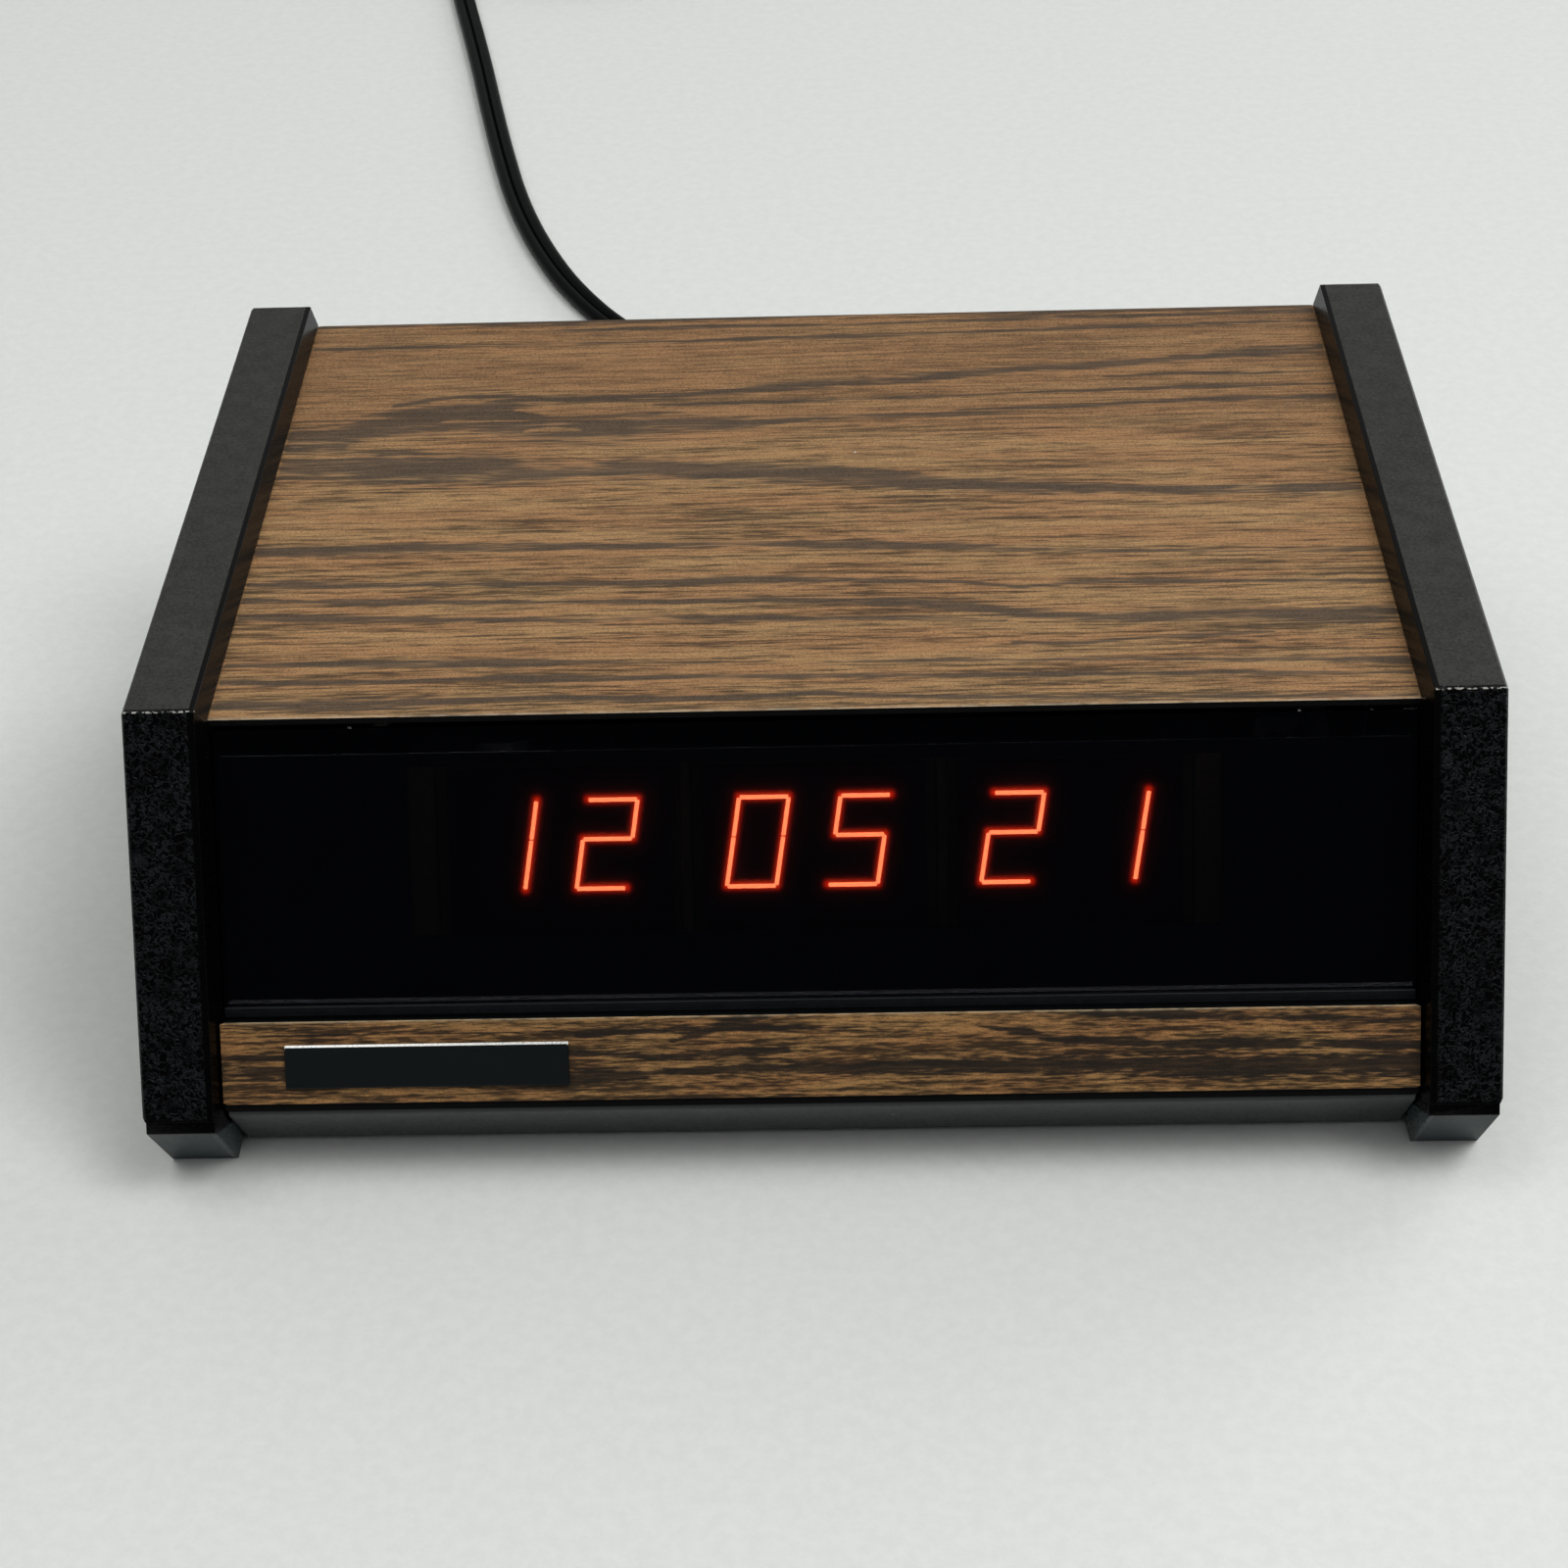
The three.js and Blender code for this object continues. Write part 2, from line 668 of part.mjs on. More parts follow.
// Rear panel: a channel with cut-outs for the controls, the lead and the air
const buttonX = buttonNames.map((_, i) => -innerX + firstButtonFromEnd + i * buttonPitch);
const lastSwitchX = innerX - lastSwitchFromEnd - switchPlateWidth / 2;
const switchX = switchNames.map((_, i) => (
  lastSwitchX - (switchNames.length - 1 - i) * (switchPlateWidth + switchGap)));
function rearPanel() {
  const bottom = panFloor + fit;
  const top = coverTop - sheet - fit;
  const channel = alongX(folded([[rearFace - rearFlange, bottom], [rearFace, bottom],
    [rearFace, top], [rearFace - rearFlange, top]]), -spanX, spanX);
  const through = [rearInner - overrun, rearFace + overrun];
  const holes = buttonX.map((x) => bar('y', [x, through[0], controlHeight], sheet + 2 * overrun,
    bushingRadius + fit, 20));
  const knobSlots = switchX.map((x) => block(x - (knobWidth + switchTravel) / 2 - fit,
    x + (knobWidth + switchTravel) / 2 + fit, ...through,
    controlHeight - knobHeight / 2 - fit, controlHeight + knobHeight / 2 + fit));
  const vents = Array.from({ length: ventCount }, (_, i) => {
    const x = innerX - ventFromEnd + (i - (ventCount - 1) / 2) * ventPitch;
    return alongY(roundedOutline(x - ventWidth / 2, x + ventWidth / 2, ventFoot, ventFoot + ventHeight,
      ventWidth / 2 - fit / 2, 2), ...through);
  });
  const gland = bar('y', [leadExitX, through[0], leadExitHeight], sheet + 2 * overrun,
    reliefNeckRadius + fit, 20);
  return cut(channel, ...holes, ...knobSlots, ...vents, gland);
}

// The leaning front: everything here is placed by its recess and by how far down it lies
const face = new THREE.Group();
face.position.set(0, frontTopY, height);
face.rotation.x = -faceLean;
clock.add(face);

function lens() {
  const edge = innerX + grooveDepth - fit;
  return block(-edge, edge, lensRecess, lensRecess + lensThickness, -lensBottom, -lensTop);
}

function sill() {
  const top = -lensBottom - fit;
  const under = top - sillHeight;
  const legFront = lipRecess + sheet + fit;
  const legBack = legFront + sillLegThickness;
  return alongX([[sillRecess, top], [sillRecess, under], [legFront, under],
    [legFront, under - sillLegLength], [legBack, under - sillLegLength], [legBack, under],
    [sillRecess + sillDepth, under], [sillRecess + sillDepth, top]], -spanX, spanX);
}

// The strip's ends lean with the rims' inner walls
function trimStrip() {
  const ring = (half, recess) => roundedOutline(-half, half, -stripBottom, -stripTop, stripCorner, 2)
    .map(([x, z]) => [x, recess, z]);
  const spread = rimBevel * (1 - stripRecess / rimDepth);
  return solid(skin([ring(spanX + spread, stripRecess), ring(spanX, stripRecess + stripThickness)]));
}

function nameplate() {
  const left = -spanX + plateFromEnd;
  const top = -stripTop - plateBelowTop;
  return block(left, left + plateWidth, stripRecess - fit - plateThickness, stripRecess - fit,
    top - plateHeight, top);
}

const tubeX = [-1, 0, 1].map((place) => place * (tubeWidth + tubeGap));
const pinCount = Math.floor((tubeWidth - 2 * tubePlateStep - pinWidth) / pinPitch);
function shield() {
  const whole = block(-spanX, spanX, shieldRecess, shieldRecess + shieldThickness, -lensBottom, -shieldTop);
  const opening = block(-windowWidth / 2, windowWidth / 2, shieldRecess - overrun,
    shieldRecess + shieldThickness + overrun, -windowBottom, -windowTop);
  return cut(whole, opening);
}

// A two-digit tube: two bonded glass plates, its sealed-off tip, and a row of pins below
const tubeBack = tubeRecess + tubeFrontPlate + tubeBackPlate;
const pinMiddle = tubeRecess + tubeFrontPlate + tubeBackPlate / 2;
const tubeFoot = -tubeTop - tubeHeight;
function tube(x) {
  const glass = block(x - tubeWidth / 2, x + tubeWidth / 2, tubeRecess, tubeRecess + tubeFrontPlate,
    tubeFoot + tubePlateStep, -tubeTop);
  const rear = block(x - tubeWidth / 2 + tubePlateStep, x + tubeWidth / 2 - tubePlateStep,
    tubeRecess + tubeFrontPlate - fit, tubeBack, tubeFoot, -tubeTop - tubePlateStep);
  const tip = turnedY([[0, 0], [tubeTipRadius, 0], [tubeTipRadius, tubeTipLength / 2],
    [tubeTipRadius * tipWaistShare, tubeTipLength * tipWaistShare], [0, tubeTipLength]],
  [x + tubeWidth / 4, tubeBack - tubePlateStep / 2, -tubeTop - tubeHeight / 4], 12);
  const pins = Array.from({ length: pinCount }, (_, i) => {
    const px = x + (i - (pinCount - 1) / 2) * pinPitch;
    return block(px - pinWidth / 2, px + pinWidth / 2, pinMiddle - pinWidth / 2, pinMiddle + pinWidth / 2,
      tubeFoot - pinLength, tubeFoot + tubePlateStep);
  });
  return join(glass, rear, tip, ...pins);
}

const displayBoardFront = Math.max(tubeBack + tubeTipLength, pinMiddle + socketDepth / 2) + fit;
const displayBoardFoot = -displayBoardTop - displayBoardHeight;
function tubeSocket(x) {
  const top = tubeFoot - fit;
  const half = pinCount * pinPitch / 2;
  const body = block(x - half, x + half, pinMiddle - socketDepth / 2, displayBoardFront - fit,
    top - socketHeight, top);
  const slot = block(x - half + pinPitch / 2 - pinWidth, x + half - pinPitch / 2 + pinWidth,
    pinMiddle - pinWidth / 2 - fit, pinMiddle + pinWidth / 2 + fit, tubeFoot - pinLength - fit,
    top + overrun);
  return cut(body, slot);
}

function displayBoard() {
  return block(-displayBoardWidth / 2, displayBoardWidth / 2, displayBoardFront,
    displayBoardFront + boardThickness, displayBoardFoot, -displayBoardTop);
}

// A bracket stands on the pan and leans back with the board that it carries
function bracket(x) {
  const recess = displayBoardFront + boardThickness + fit;
  const upright = [onFace(recess, displayBoardTop - bracketAboveBoard), onFace(recess, faceLength)];
  const floorZ = panFloor + fit;
  const heel = crossing(upright, [[0, floorZ], [rearY, floorZ]]);
  return alongX(folded([upright[0], heel, [heel[0] + bracketFoot, floorZ]]),
    x - bracketWidth / 2, x + bracketWidth / 2);
}

// Main board on four spacers
const mainRear = frontTopY - noseRun + mainBoardRearSetback;
const mainFront = mainRear - mainBoardDepth;
const bracketX = displayBoardWidth / 2 - bracketInset - bracketWidth / 2;
const mainRight = bracketX - bracketWidth / 2 - boardRoom;
const mainLeft = -mainRight;
const mainBoardZ = panFloor + fit + spacerHeight + fit;
const mainBoardTop = mainBoardZ + boardThickness;
const spacerPlaces = [mainLeft + spacerInset, mainRight - spacerInset].flatMap((x) => (
  [mainFront + spacerInset, mainRear - spacerInset].map((y) => [x, y])));

function mainBoard() {
  const plate = block(mainLeft, mainRight, mainFront, mainRear, mainBoardZ, mainBoardTop);
  return cut(plate, ...spacerPlaces.map(([x, y]) => bar('z', [x, y, mainBoardZ - overrun],
    boardThickness + 2 * overrun, boardHoleRadius, 12)));
}

// A hexagonal spacer whose pip stands in the board's hole
function spacer([x, y]) {
  const foot = panFloor + fit;
  const pip = bar('z', [x, y, foot + spacerHeight - fit], boardThickness + 2 * fit,
    boardHoleRadius - fit, 8);
  return join(alongZ(ringOutline(x, y, spacerRadius, 6), foot, foot + spacerHeight), pip);
}

const chipY = mainRear - chipFromRear;
const chipRight = chipLength / 2;
const chipLegCount = Math.floor(chipLength / chipLegPitch);
function chipSocket() {
  const base = mainBoardTop + fit;
  const body = block(-chipRight, chipRight, chipY - chipWidth / 2,
    chipY + chipWidth / 2, base, base + chipSocketHeight);
  const well = block(-chipRight + chipLegPitch, chipRight - chipLegPitch,
    chipY - chipWidth / 4, chipY + chipWidth / 4, base - overrun, base + chipSocketHeight + overrun);
  return cut(body, well);
}

// The chip with its two rows of legs turned down beside the socket
function clockChip() {
  const base = mainBoardTop + fit + chipSocketHeight + fit;
  const notch = bar('z', [-chipRight, chipY, base - overrun], chipThickness + 2 * overrun,
    chipLegPitch / 2, 12);
  const body = cut(block(-chipRight, chipRight, chipY - chipWidth / 2,
    chipY + chipWidth / 2, base, base + chipThickness), notch);
  const outer = chipWidth / 2 + chipLegThickness + fit;
  const legs = [-1, 1].flatMap((side) => Array.from({ length: chipLegCount }, (_, i) => {
    const x = (i - (chipLegCount - 1) / 2) * chipLegPitch;
    const outline = [[chipY + side * (chipWidth / 2 - fit), base + chipThickness / 2],
      [chipY + side * outer, base + chipThickness / 2], [chipY + side * outer, mainBoardTop + fit],
      [chipY + side * (outer - chipLegThickness), mainBoardTop + fit],
      [chipY + side * (outer - chipLegThickness), base + chipThickness / 2 - chipLegThickness],
      [chipY + side * (chipWidth / 2 - fit), base + chipThickness / 2 - chipLegThickness]];
    return alongX(outline, x - chipLegWidth / 2, x + chipLegWidth / 2);
  }));
  return join(body, ...legs);
}

// A can capacitor with the crimped groove near its foot
function capacitor(x, y, radius, tall) {
  const crimp = tall * crimpShare;
  return turnedZ([[0, 0], [radius, 0], [radius, crimp - capGroove], [radius - capGroove, crimp],
    [radius, crimp + capGroove], [radius, tall - capGroove], [radius - capGroove, tall], [0, tall]],
  [x, y, mainBoardTop + fit], 20);
}

// Transformer: a laminated core, the winding round its middle leg, and a strap
const coreY = rearY - transformerRearSetback;
const coreFoot = panFloor + fit;
const coreLeft = transformerCentreX - coreWidth / 2;
const coreRight = transformerCentreX + coreWidth / 2;
function transformerCore() {
  const whole = block(coreLeft, coreRight, coreY - coreStack / 2, coreY + coreStack / 2,
    coreFoot, coreFoot + coreHeight);
  const windows = [-1, 1].map((side) => {
    const inner = transformerCentreX + side * coreMiddleLeg / 2;
    const outer = transformerCentreX + side * (coreWidth / 2 - coreLeg);
    return block(Math.min(inner, outer), Math.max(inner, outer), coreY - coreStack, coreY + coreStack,
      coreFoot + coreLeg, coreFoot + coreHeight - coreLeg);
  });
  return cut(whole, ...windows);
}

function transformerWinding() {
  const low = coreFoot + coreLeg + fit;
  const high = coreFoot + coreHeight - coreLeg - fit;
  const halfX = coreWidth / 2 - coreLeg - fit;
  const halfY = coreStack / 2 + coilReach;
  const flange = (z0, z1) => alongZ(roundedOutline(transformerCentreX - halfX, transformerCentreX + halfX,
    coreY - halfY, coreY + halfY, foldRadius, 2), z0, z1);
  const wire = alongZ(roundedOutline(transformerCentreX - halfX + fit, transformerCentreX + halfX - fit,
    coreY - halfY + sheet, coreY + halfY - sheet, coilReach / 2, 4), low + sheet / 2, high - sheet / 2);
  const bore = block(transformerCentreX - coreMiddleLeg / 2 - fit,
    transformerCentreX + coreMiddleLeg / 2 + fit, coreY - coreStack / 2 - fit,
    coreY + coreStack / 2 + fit, low - overrun, high + overrun);
  return cut(join(flange(low, low + sheet), flange(high - sheet, high), wire), bore);
}

function transformerStrap() {
  const left = coreLeft - fit;
  const right = coreRight + fit;
  const top = coreFoot + coreHeight + fit;
  const line = [[left - sheet - strapEar, coreFoot], [left, coreFoot], [left, top],
    [right, top], [right, coreFoot], [right + sheet + strapEar, coreFoot]];
  const strap = alongY(folded(line), coreY - strapWidth / 2, coreY + strapWidth / 2);
  return cut(strap, ...[left - sheet - strapEar / 2, right + sheet + strapEar / 2].map((x) => (
    bar('z', [x, coreY, coreFoot - overrun], sheet + 2 * overrun, flangeHoleRadius, 12))));
}

// Speaker: a pressed basket with windows, a paper cone inside it, and a magnet on top
const speakerFoot = panFloor + fit;
const basketTop = speakerFoot + speakerDepth;
const basketPlace = [speakerCentreX, speakerY, speakerFoot];
function speakerBasket() {
  const mouth = speakerRadius - speakerRim;
  const shell = turnedZ([[mouth - speakerWall, 0], [speakerRadius, 0],
    [speakerRadius, speakerRimHeight / 2], [mouth, speakerRimHeight],
    [speakerBackRadius, speakerDepth], [magnetBoreRadius, speakerDepth],
    [magnetBoreRadius, speakerDepth - speakerWall],
    [speakerBackRadius - speakerWall, speakerDepth - speakerWall],
    [mouth - speakerWall, speakerRimHeight - speakerWall], [mouth - speakerWall, 0]], basketPlace, 32);
  const middle = (mouth + speakerBackRadius) / 2;
  const windows = ringOutline(speakerCentreX, speakerY, middle, speakerWindows, Math.PI / 4)
    .map(([x, y]) => bar('z', [x, y, speakerFoot + speakerRimHeight + speakerWall], speakerDepth,
      speakerWindowRadius, 12));
  return cut(shell, ...windows);
}

function speakerMagnet() {
  const ring = bar('z', [speakerCentreX, speakerY, basketTop + fit], magnetHeight, magnetRadius, 28);
  const pole = bar('z', [speakerCentreX, speakerY, basketTop - speakerWall - fit], magnetHeight / 2,
    poleRadius, 20);
  return join(ring, pole);
}

// The cone is a thin shell, rolled at its mouth and closed by its dust cap
function speakerCone() {
  const mouth = speakerRadius - speakerRim - 2 * speakerWall - fit;
  const throatZ = coneLift + coneDepth;
  const neck = coneThroatRadius + coneWall;
  return turnedZ([[0, throatZ - coneWall], [coneThroatRadius, throatZ - coneThroatRadius / 2],
    [mouth - speakerRim, coneLift], [mouth - speakerRim / 2, coneLift - coneWall], [mouth, coneLift],
    [mouth, coneLift + coneWall], [mouth - speakerRim / 2, coneLift],
    [mouth - speakerRim, coneLift + coneWall],
    [neck, throatZ - coneThroatRadius / 2 + coneWall], [neck, throatZ], [0, throatZ]], basketPlace, 32);
}

// Push buttons: a square housing inside, its bushing and nut through the rear panel
const boreEnd = rearInner - fit - buttonBodyDepth + sheet;
function buttonHousing(x) {
  const back = rearInner - fit - buttonBodyDepth;
  const reachEnd = rearFace + fit + nutThickness + bushingReach;
  const housing = block(x - buttonBody / 2, x + buttonBody / 2, back, rearInner - fit,
    controlHeight - buttonBody / 2, controlHeight + buttonBody / 2);
  const bushing = bar('y', [x, rearInner - sheet, controlHeight], reachEnd - rearInner + sheet,
    bushingRadius, 20);
  const nut = alongY(ringOutline(x, controlHeight, nutRadius, 6), rearFace + fit,
    rearFace + fit + nutThickness);
  const bore = bar('y', [x, boreEnd, controlHeight], reachEnd - boreEnd + overrun,
    stemRadius + stemRoom, 20);
  const lugs = [-1, 1].map((side) => block(x + side * buttonBody / 4 - lugWidth / 2,
    x + side * buttonBody / 4 + lugWidth / 2, back - lugLength, back + sheet,
    controlHeight - lugThickness / 2, controlHeight + lugThickness / 2));
  return cut(join(housing, bushing, nut, ...lugs), bore);
}

function button(x) {
  const capFoot = rearFace + fit + nutThickness + bushingReach + buttonTravel + fit;
  const stemFoot = capFoot - stemLength;
  return turnedY([[0, 0], [stemRadius, 0], [stemRadius, stemLength], [capRadius, stemLength],
    [capRadius, stemLength + capHeight - capDome],
    [capRadius - capDome, stemLength + capHeight - capDome / 4], [0, stemLength + capHeight]],
  [x, stemFoot, controlHeight], 20);
}

// Slide switches: a metal case with two ears, and a knob that runs in its slot
const switchBack = rearInner - fit;
const knobSlotHalf = (knobWidth + switchTravel) / 2 + fit;
function switchCase(x) {
  const ears = alongY(roundedOutline(x - switchPlateWidth / 2, x + switchPlateWidth / 2,
    controlHeight - switchPlateHeight / 2, controlHeight + switchPlateHeight / 2, sheet, 2),
  switchBack - sheet, switchBack);
  const body = block(x - switchBodyWidth / 2, x + switchBodyWidth / 2, switchBack - switchBodyDepth,
    switchBack - sheet / 2, controlHeight - switchBodyHeight / 2, controlHeight + switchBodyHeight / 2);
  const roomHalf = (carriageWidth + switchTravel) / 2 + fit;
  const room = block(x - roomHalf, x + roomHalf, switchBack - sheet - fit - carriageDepth - fit,
    switchBack - sheet, controlHeight - carriageHeight / 2 - fit, controlHeight + carriageHeight / 2 + fit);
  const slot = block(x - knobSlotHalf, x + knobSlotHalf, switchBack - sheet - fit, switchBack + overrun,
    controlHeight - knobHeight / 2 - fit, controlHeight + knobHeight / 2 + fit);
  const holes = [-1, 1].map((side) => bar('y', [x + side * (switchPlateWidth + switchBodyWidth) / 4,
    switchBack - sheet - overrun, controlHeight], sheet + 2 * overrun, screwRadius, 10));
  const lugs = [-1, 0, 1].map((place) => block(x + place * switchBodyWidth / 3 - lugWidth / 2,
    x + place * switchBodyWidth / 3 + lugWidth / 2, switchBack - switchBodyDepth - lugLength,
    switchBack - switchBodyDepth + sheet / 2, controlHeight - lugThickness / 2,
    controlHeight + lugThickness / 2));
  return cut(join(ears, body, ...lugs), room, slot, ...holes);
}

// The knob rests at the end of its slot that lies towards -X
function switchKnob(x) {
  const at = x - switchTravel / 2;
  const tip = rearFace + knobReach;
  const inside = switchBack - sheet - fit;
  const carriage = block(at - carriageWidth / 2, at + carriageWidth / 2, inside - carriageDepth, inside,
    controlHeight - carriageHeight / 2, controlHeight + carriageHeight / 2);
  const half = knobWidth / 2;
  const pitch = knobWidth / knobRibs;
  const ribs = Array.from({ length: knobRibs }, (_, i) => {
    const a = at + half - i * pitch;
    const low = tip - knobRibDepth;
    return [[a, tip], [a - pitch / 2, tip], [a - pitch / 2, low], [a - pitch, low]];
  }).flat();
  const knob = alongZ([[at - half, inside - sheet], [at + half, inside - sheet], ...ribs],
    controlHeight - knobHeight / 2, controlHeight + knobHeight / 2);
  return join(carriage, knob);
}

// Strain relief: a flange outside the panel, a neck through it, and a ringed, tapering boot
function strainRelief() {
  const oval = (y, halfX, halfZ, sides = 16) => Array.from({ length: sides }, (_, i) => {
    const angle = -2 * Math.PI * i / sides;
    return [leadExitX + halfX * Math.cos(angle), y, leadExitHeight + halfZ * Math.sin(angle)];
  });
  const flangeFoot = rearFace + fit;
  const rings = [
    oval(rearInner - reliefInside, reliefNeckRadius, reliefNeckRadius),
    oval(flangeFoot, reliefNeckRadius, reliefNeckRadius),
    oval(flangeFoot, reliefFlangeRadius, reliefFlangeRadius),
    oval(flangeFoot + reliefFlange, reliefFlangeRadius, reliefFlangeRadius),
  ];
  const boot = reliefLength - reliefFlange;
  for (let i = 0; i < reliefRings; i += 1) {
    const size = (share) => [
      THREE.MathUtils.lerp(reliefFlangeRadius - fit, reliefEndWidth / 2, share),
      THREE.MathUtils.lerp(reliefFlangeRadius - fit, reliefEndThickness / 2, share),
    ];
    const step = boot / reliefRings;
    const start = flangeFoot + reliefFlange + i * step;
    const [wide, tall] = size(i / reliefRings);
    const [wideEnd, tallEnd] = size((i + grooveShare) / reliefRings);
    rings.push(oval(start, wide - reliefGroove, tall - reliefGroove));
    rings.push(oval(start + step * grooveShare, wideEnd - reliefGroove, tallEnd - reliefGroove));
    rings.push(oval(start + step * grooveShare, wideEnd, tallEnd));
    rings.push(oval(start + step, ...size((i + 1) / reliefRings)));
  }
  return skin(rings);
}

// The flat lead runs over the table as an even, oval tube
function supplyLead() {
  const route = new THREE.CatmullRomCurve3(leadRoute.map((point) => new THREE.Vector3(...point)), false,
    'centripetal');
  const section = new THREE.Shape(ringOutline(0, 0, 1, leadSides, Math.PI / leadSides)
    .map(([a, b]) => new THREE.Vector2(a * leadWidth / 2, b * leadThickness / 2)));
  const length = route.getLength();
  const steps = Math.round(length / (leadWidth * leadStepWidths));
  console.log(`free stretch of the lead ${length.toFixed(1)} mm`);
  return solid(new THREE.ExtrudeGeometry(section, { steps, extrudePath: route }));
}

// The coil: the lead winds in over the table, climbs at its middle and winds out again
const coilOuterRadius = coilInnerRadius + coilTurnPitch * coilTurns / 2;
const leadEnd = leadRoute[leadRoute.length - 1];
const coilCentreX = leadEnd[0] + coilOuterRadius;
const coilCentreY = leadEnd[1] + fit + leadWidth;
const coilTop = coilHeight + coilLayerPitch;
function coilCentreline() {
  const steps = Math.round(coilTurns * coilSteps);
  const winding = Array.from({ length: steps + 1 }, (_, step) => {
    const turn = coilTurns * step / steps;
    const radius = coilOuterRadius - coilTurnPitch * Math.min(turn, coilTurns - turn);
    const climb = THREE.MathUtils.smoothstep(turn, (coilTurns - climbTurnShare) / 2,
      (coilTurns + climbTurnShare) / 2);
    const angle = Math.PI - 2 * Math.PI * turn;
    return [coilCentreX + radius * Math.cos(angle), coilCentreY + radius * Math.sin(angle),
      coilHeight + climb * coilLayerPitch];
  });
  const end = winding[steps];
  return [[leadEnd[0], coilCentreY - leadWidth, coilHeight], ...winding,
    [end[0] + coilTailLength / 2, end[1], coilTop], [end[0] + coilTailLength, end[1], coilTop]];
}

const flatSection = [[leadThickness / 2, -leadWidth / 4], [leadThickness / 2, leadWidth / 4],
  [0, leadWidth / 2], [-leadThickness / 2, leadWidth / 4], [-leadThickness / 2, -leadWidth / 4],
  [0, -leadWidth / 2]];
const coilLine = coilCentreline();
function coilRings() {
  return coilLine.map((point, i) => {
    const before = coilLine[Math.max(i - 1, 0)];
    const after = coilLine[Math.min(i + 1, coilLine.length - 1)];
    let heading = [after[0] - before[0], after[1] - before[1]];
    if (i < 2) heading = [0, 1];
    if (i > coilLine.length - 3) heading = [1, 0];
    const length = Math.hypot(...heading);
    const aside = [heading[1] / length, -heading[0] / length];
    return flatSection.map(([up, across]) => (
      [point[0] + aside[0] * across, point[1] + aside[1] * across, point[2] + up]));
  });
}

// The least gap between stretches of the coil more than half a turn apart
function leastGap(rings) {
  const dense = rings.map((ring) => ring.flatMap((point, i) => {
    const next = ring[(i + 1) % ring.length];
    return [point, point.map((value, axis) => (value + next[axis]) / 2)];
  }));
  let least = Infinity;
  for (let i = 0; i < dense.length; i += 1) {
    for (let j = i + coilSteps / 2; j < dense.length; j += 1) {
      for (const p of dense[i]) {
        for (const q of dense[j]) least = Math.min(least, Math.hypot(p[0] - q[0], p[1] - q[1], p[2] - q[2]));
      }
    }
  }
  return least;
}

function leadCoil() {
  const rings = coilRings();
  const length = coilLine.slice(1).reduce((sum, point, i) => (
    sum + Math.hypot(...point.map((value, axis) => value - coilLine[i][axis]))), 0);
  console.log(`coiled stretch of the lead ${length.toFixed(1)} mm`);
  console.log(`least gap of the coil to itself ${leastGap(rings).toFixed(2)} mm`);
  return solid(skin(rings));
}

// The tie: a flat band round all the turns, made along +X and turned to its place
function coilTie() {
  const crossed = coilLine.map(([x, y]) => {
    const [u, v] = [x - coilCentreX, y - coilCentreY];
    return [u * Math.cos(tieAngle) + v * Math.sin(tieAngle),
      v * Math.cos(tieAngle) - u * Math.sin(tieAngle)];
  }).filter(([along, across]) => along > 0 && Math.abs(across) < tieWidth);
  const reach = crossed.map(([along]) => along);
  const inner = Math.min(...reach) - leadWidth / 2 - tieSlack;
  const outer = Math.max(...reach) + leadWidth / 2 + tieSlack;
  const low = coilHeight - leadThickness / 2 - fit;
  const high = coilTop + leadThickness / 2 + fit;
  const band = alongY(roundedOutline(inner - tieThickness, outer + tieThickness, low - tieThickness,
    high + tieThickness, tieThickness * 2, 2), -tieWidth / 2, tieWidth / 2);
  return cut(band, block(inner, outer, -tieWidth, tieWidth, low, high));
}

// The plug lies beside the coil, its nose towards the lead
const plugNose = coilCentreX + coilTailLength + fit;
const plugY = coilCentreY + coilOuterRadius;
const plugFace = plugNose + plugLength;
function plugBody() {
  const ring = (x, wide, thick) => roundedOutline(plugY - wide / 2, plugY + wide / 2,
    coilTop - thick / 2, coilTop + thick / 2, thick * plugCornerShare, 3).map(([y, z]) => [x, y, z]);
  const shoulder = plugNose + plugNoseLength;
  const body = solid(skin([
    ring(plugNose, plugNoseWidth, plugNoseThickness),
    ring(plugNose + plugNoseLength / 2, plugNoseWidth, plugNoseThickness),
    ring(shoulder, (plugNoseWidth + plugWidth) / 2, (plugNoseThickness + plugThickness) / 2),
    ring(shoulder + plugNoseLength / 2, plugWidth, plugThickness),
    ring(plugFace - plugGrip, plugWidth - plugGrip, plugThickness - plugGrip / 2),
    ring(plugFace - plugGrip / 2, plugWidth, plugThickness),
    ring(plugFace, plugWidth, plugThickness),
  ]));
  return cut(body, ...[-1, 1].map((side) => {
    const y = plugY + side * bladeSpacing / 2;
    return block(plugFace - bladeSeat - fit, plugFace + overrun, y - bladeThickness / 2 - fit,
      y + bladeThickness / 2 + fit, coilTop - bladeWidth / 2 - fit, coilTop + bladeWidth / 2 + fit);
  }));
}

function plugBlade(side) {
  const y = plugY + side * bladeSpacing / 2;
  const tip = plugFace + bladeLength;
  const nick = bladeWidth / 4;
  const outline = [[plugFace - bladeSeat, coilTop - bladeWidth / 2], [tip - nick, coilTop - bladeWidth / 2],
    [tip, coilTop - nick], [tip, coilTop + nick], [tip - nick, coilTop + bladeWidth / 2],
    [plugFace - bladeSeat, coilTop + bladeWidth / 2]];
  const blade = alongY(outline, y - bladeThickness / 2, y + bladeThickness / 2);
  return cut(blade, bar('y', [tip - bladeHoleFromTip - nick, y - bladeThickness, coilTop],
    2 * bladeThickness, bladeHoleRadius, 14));
}

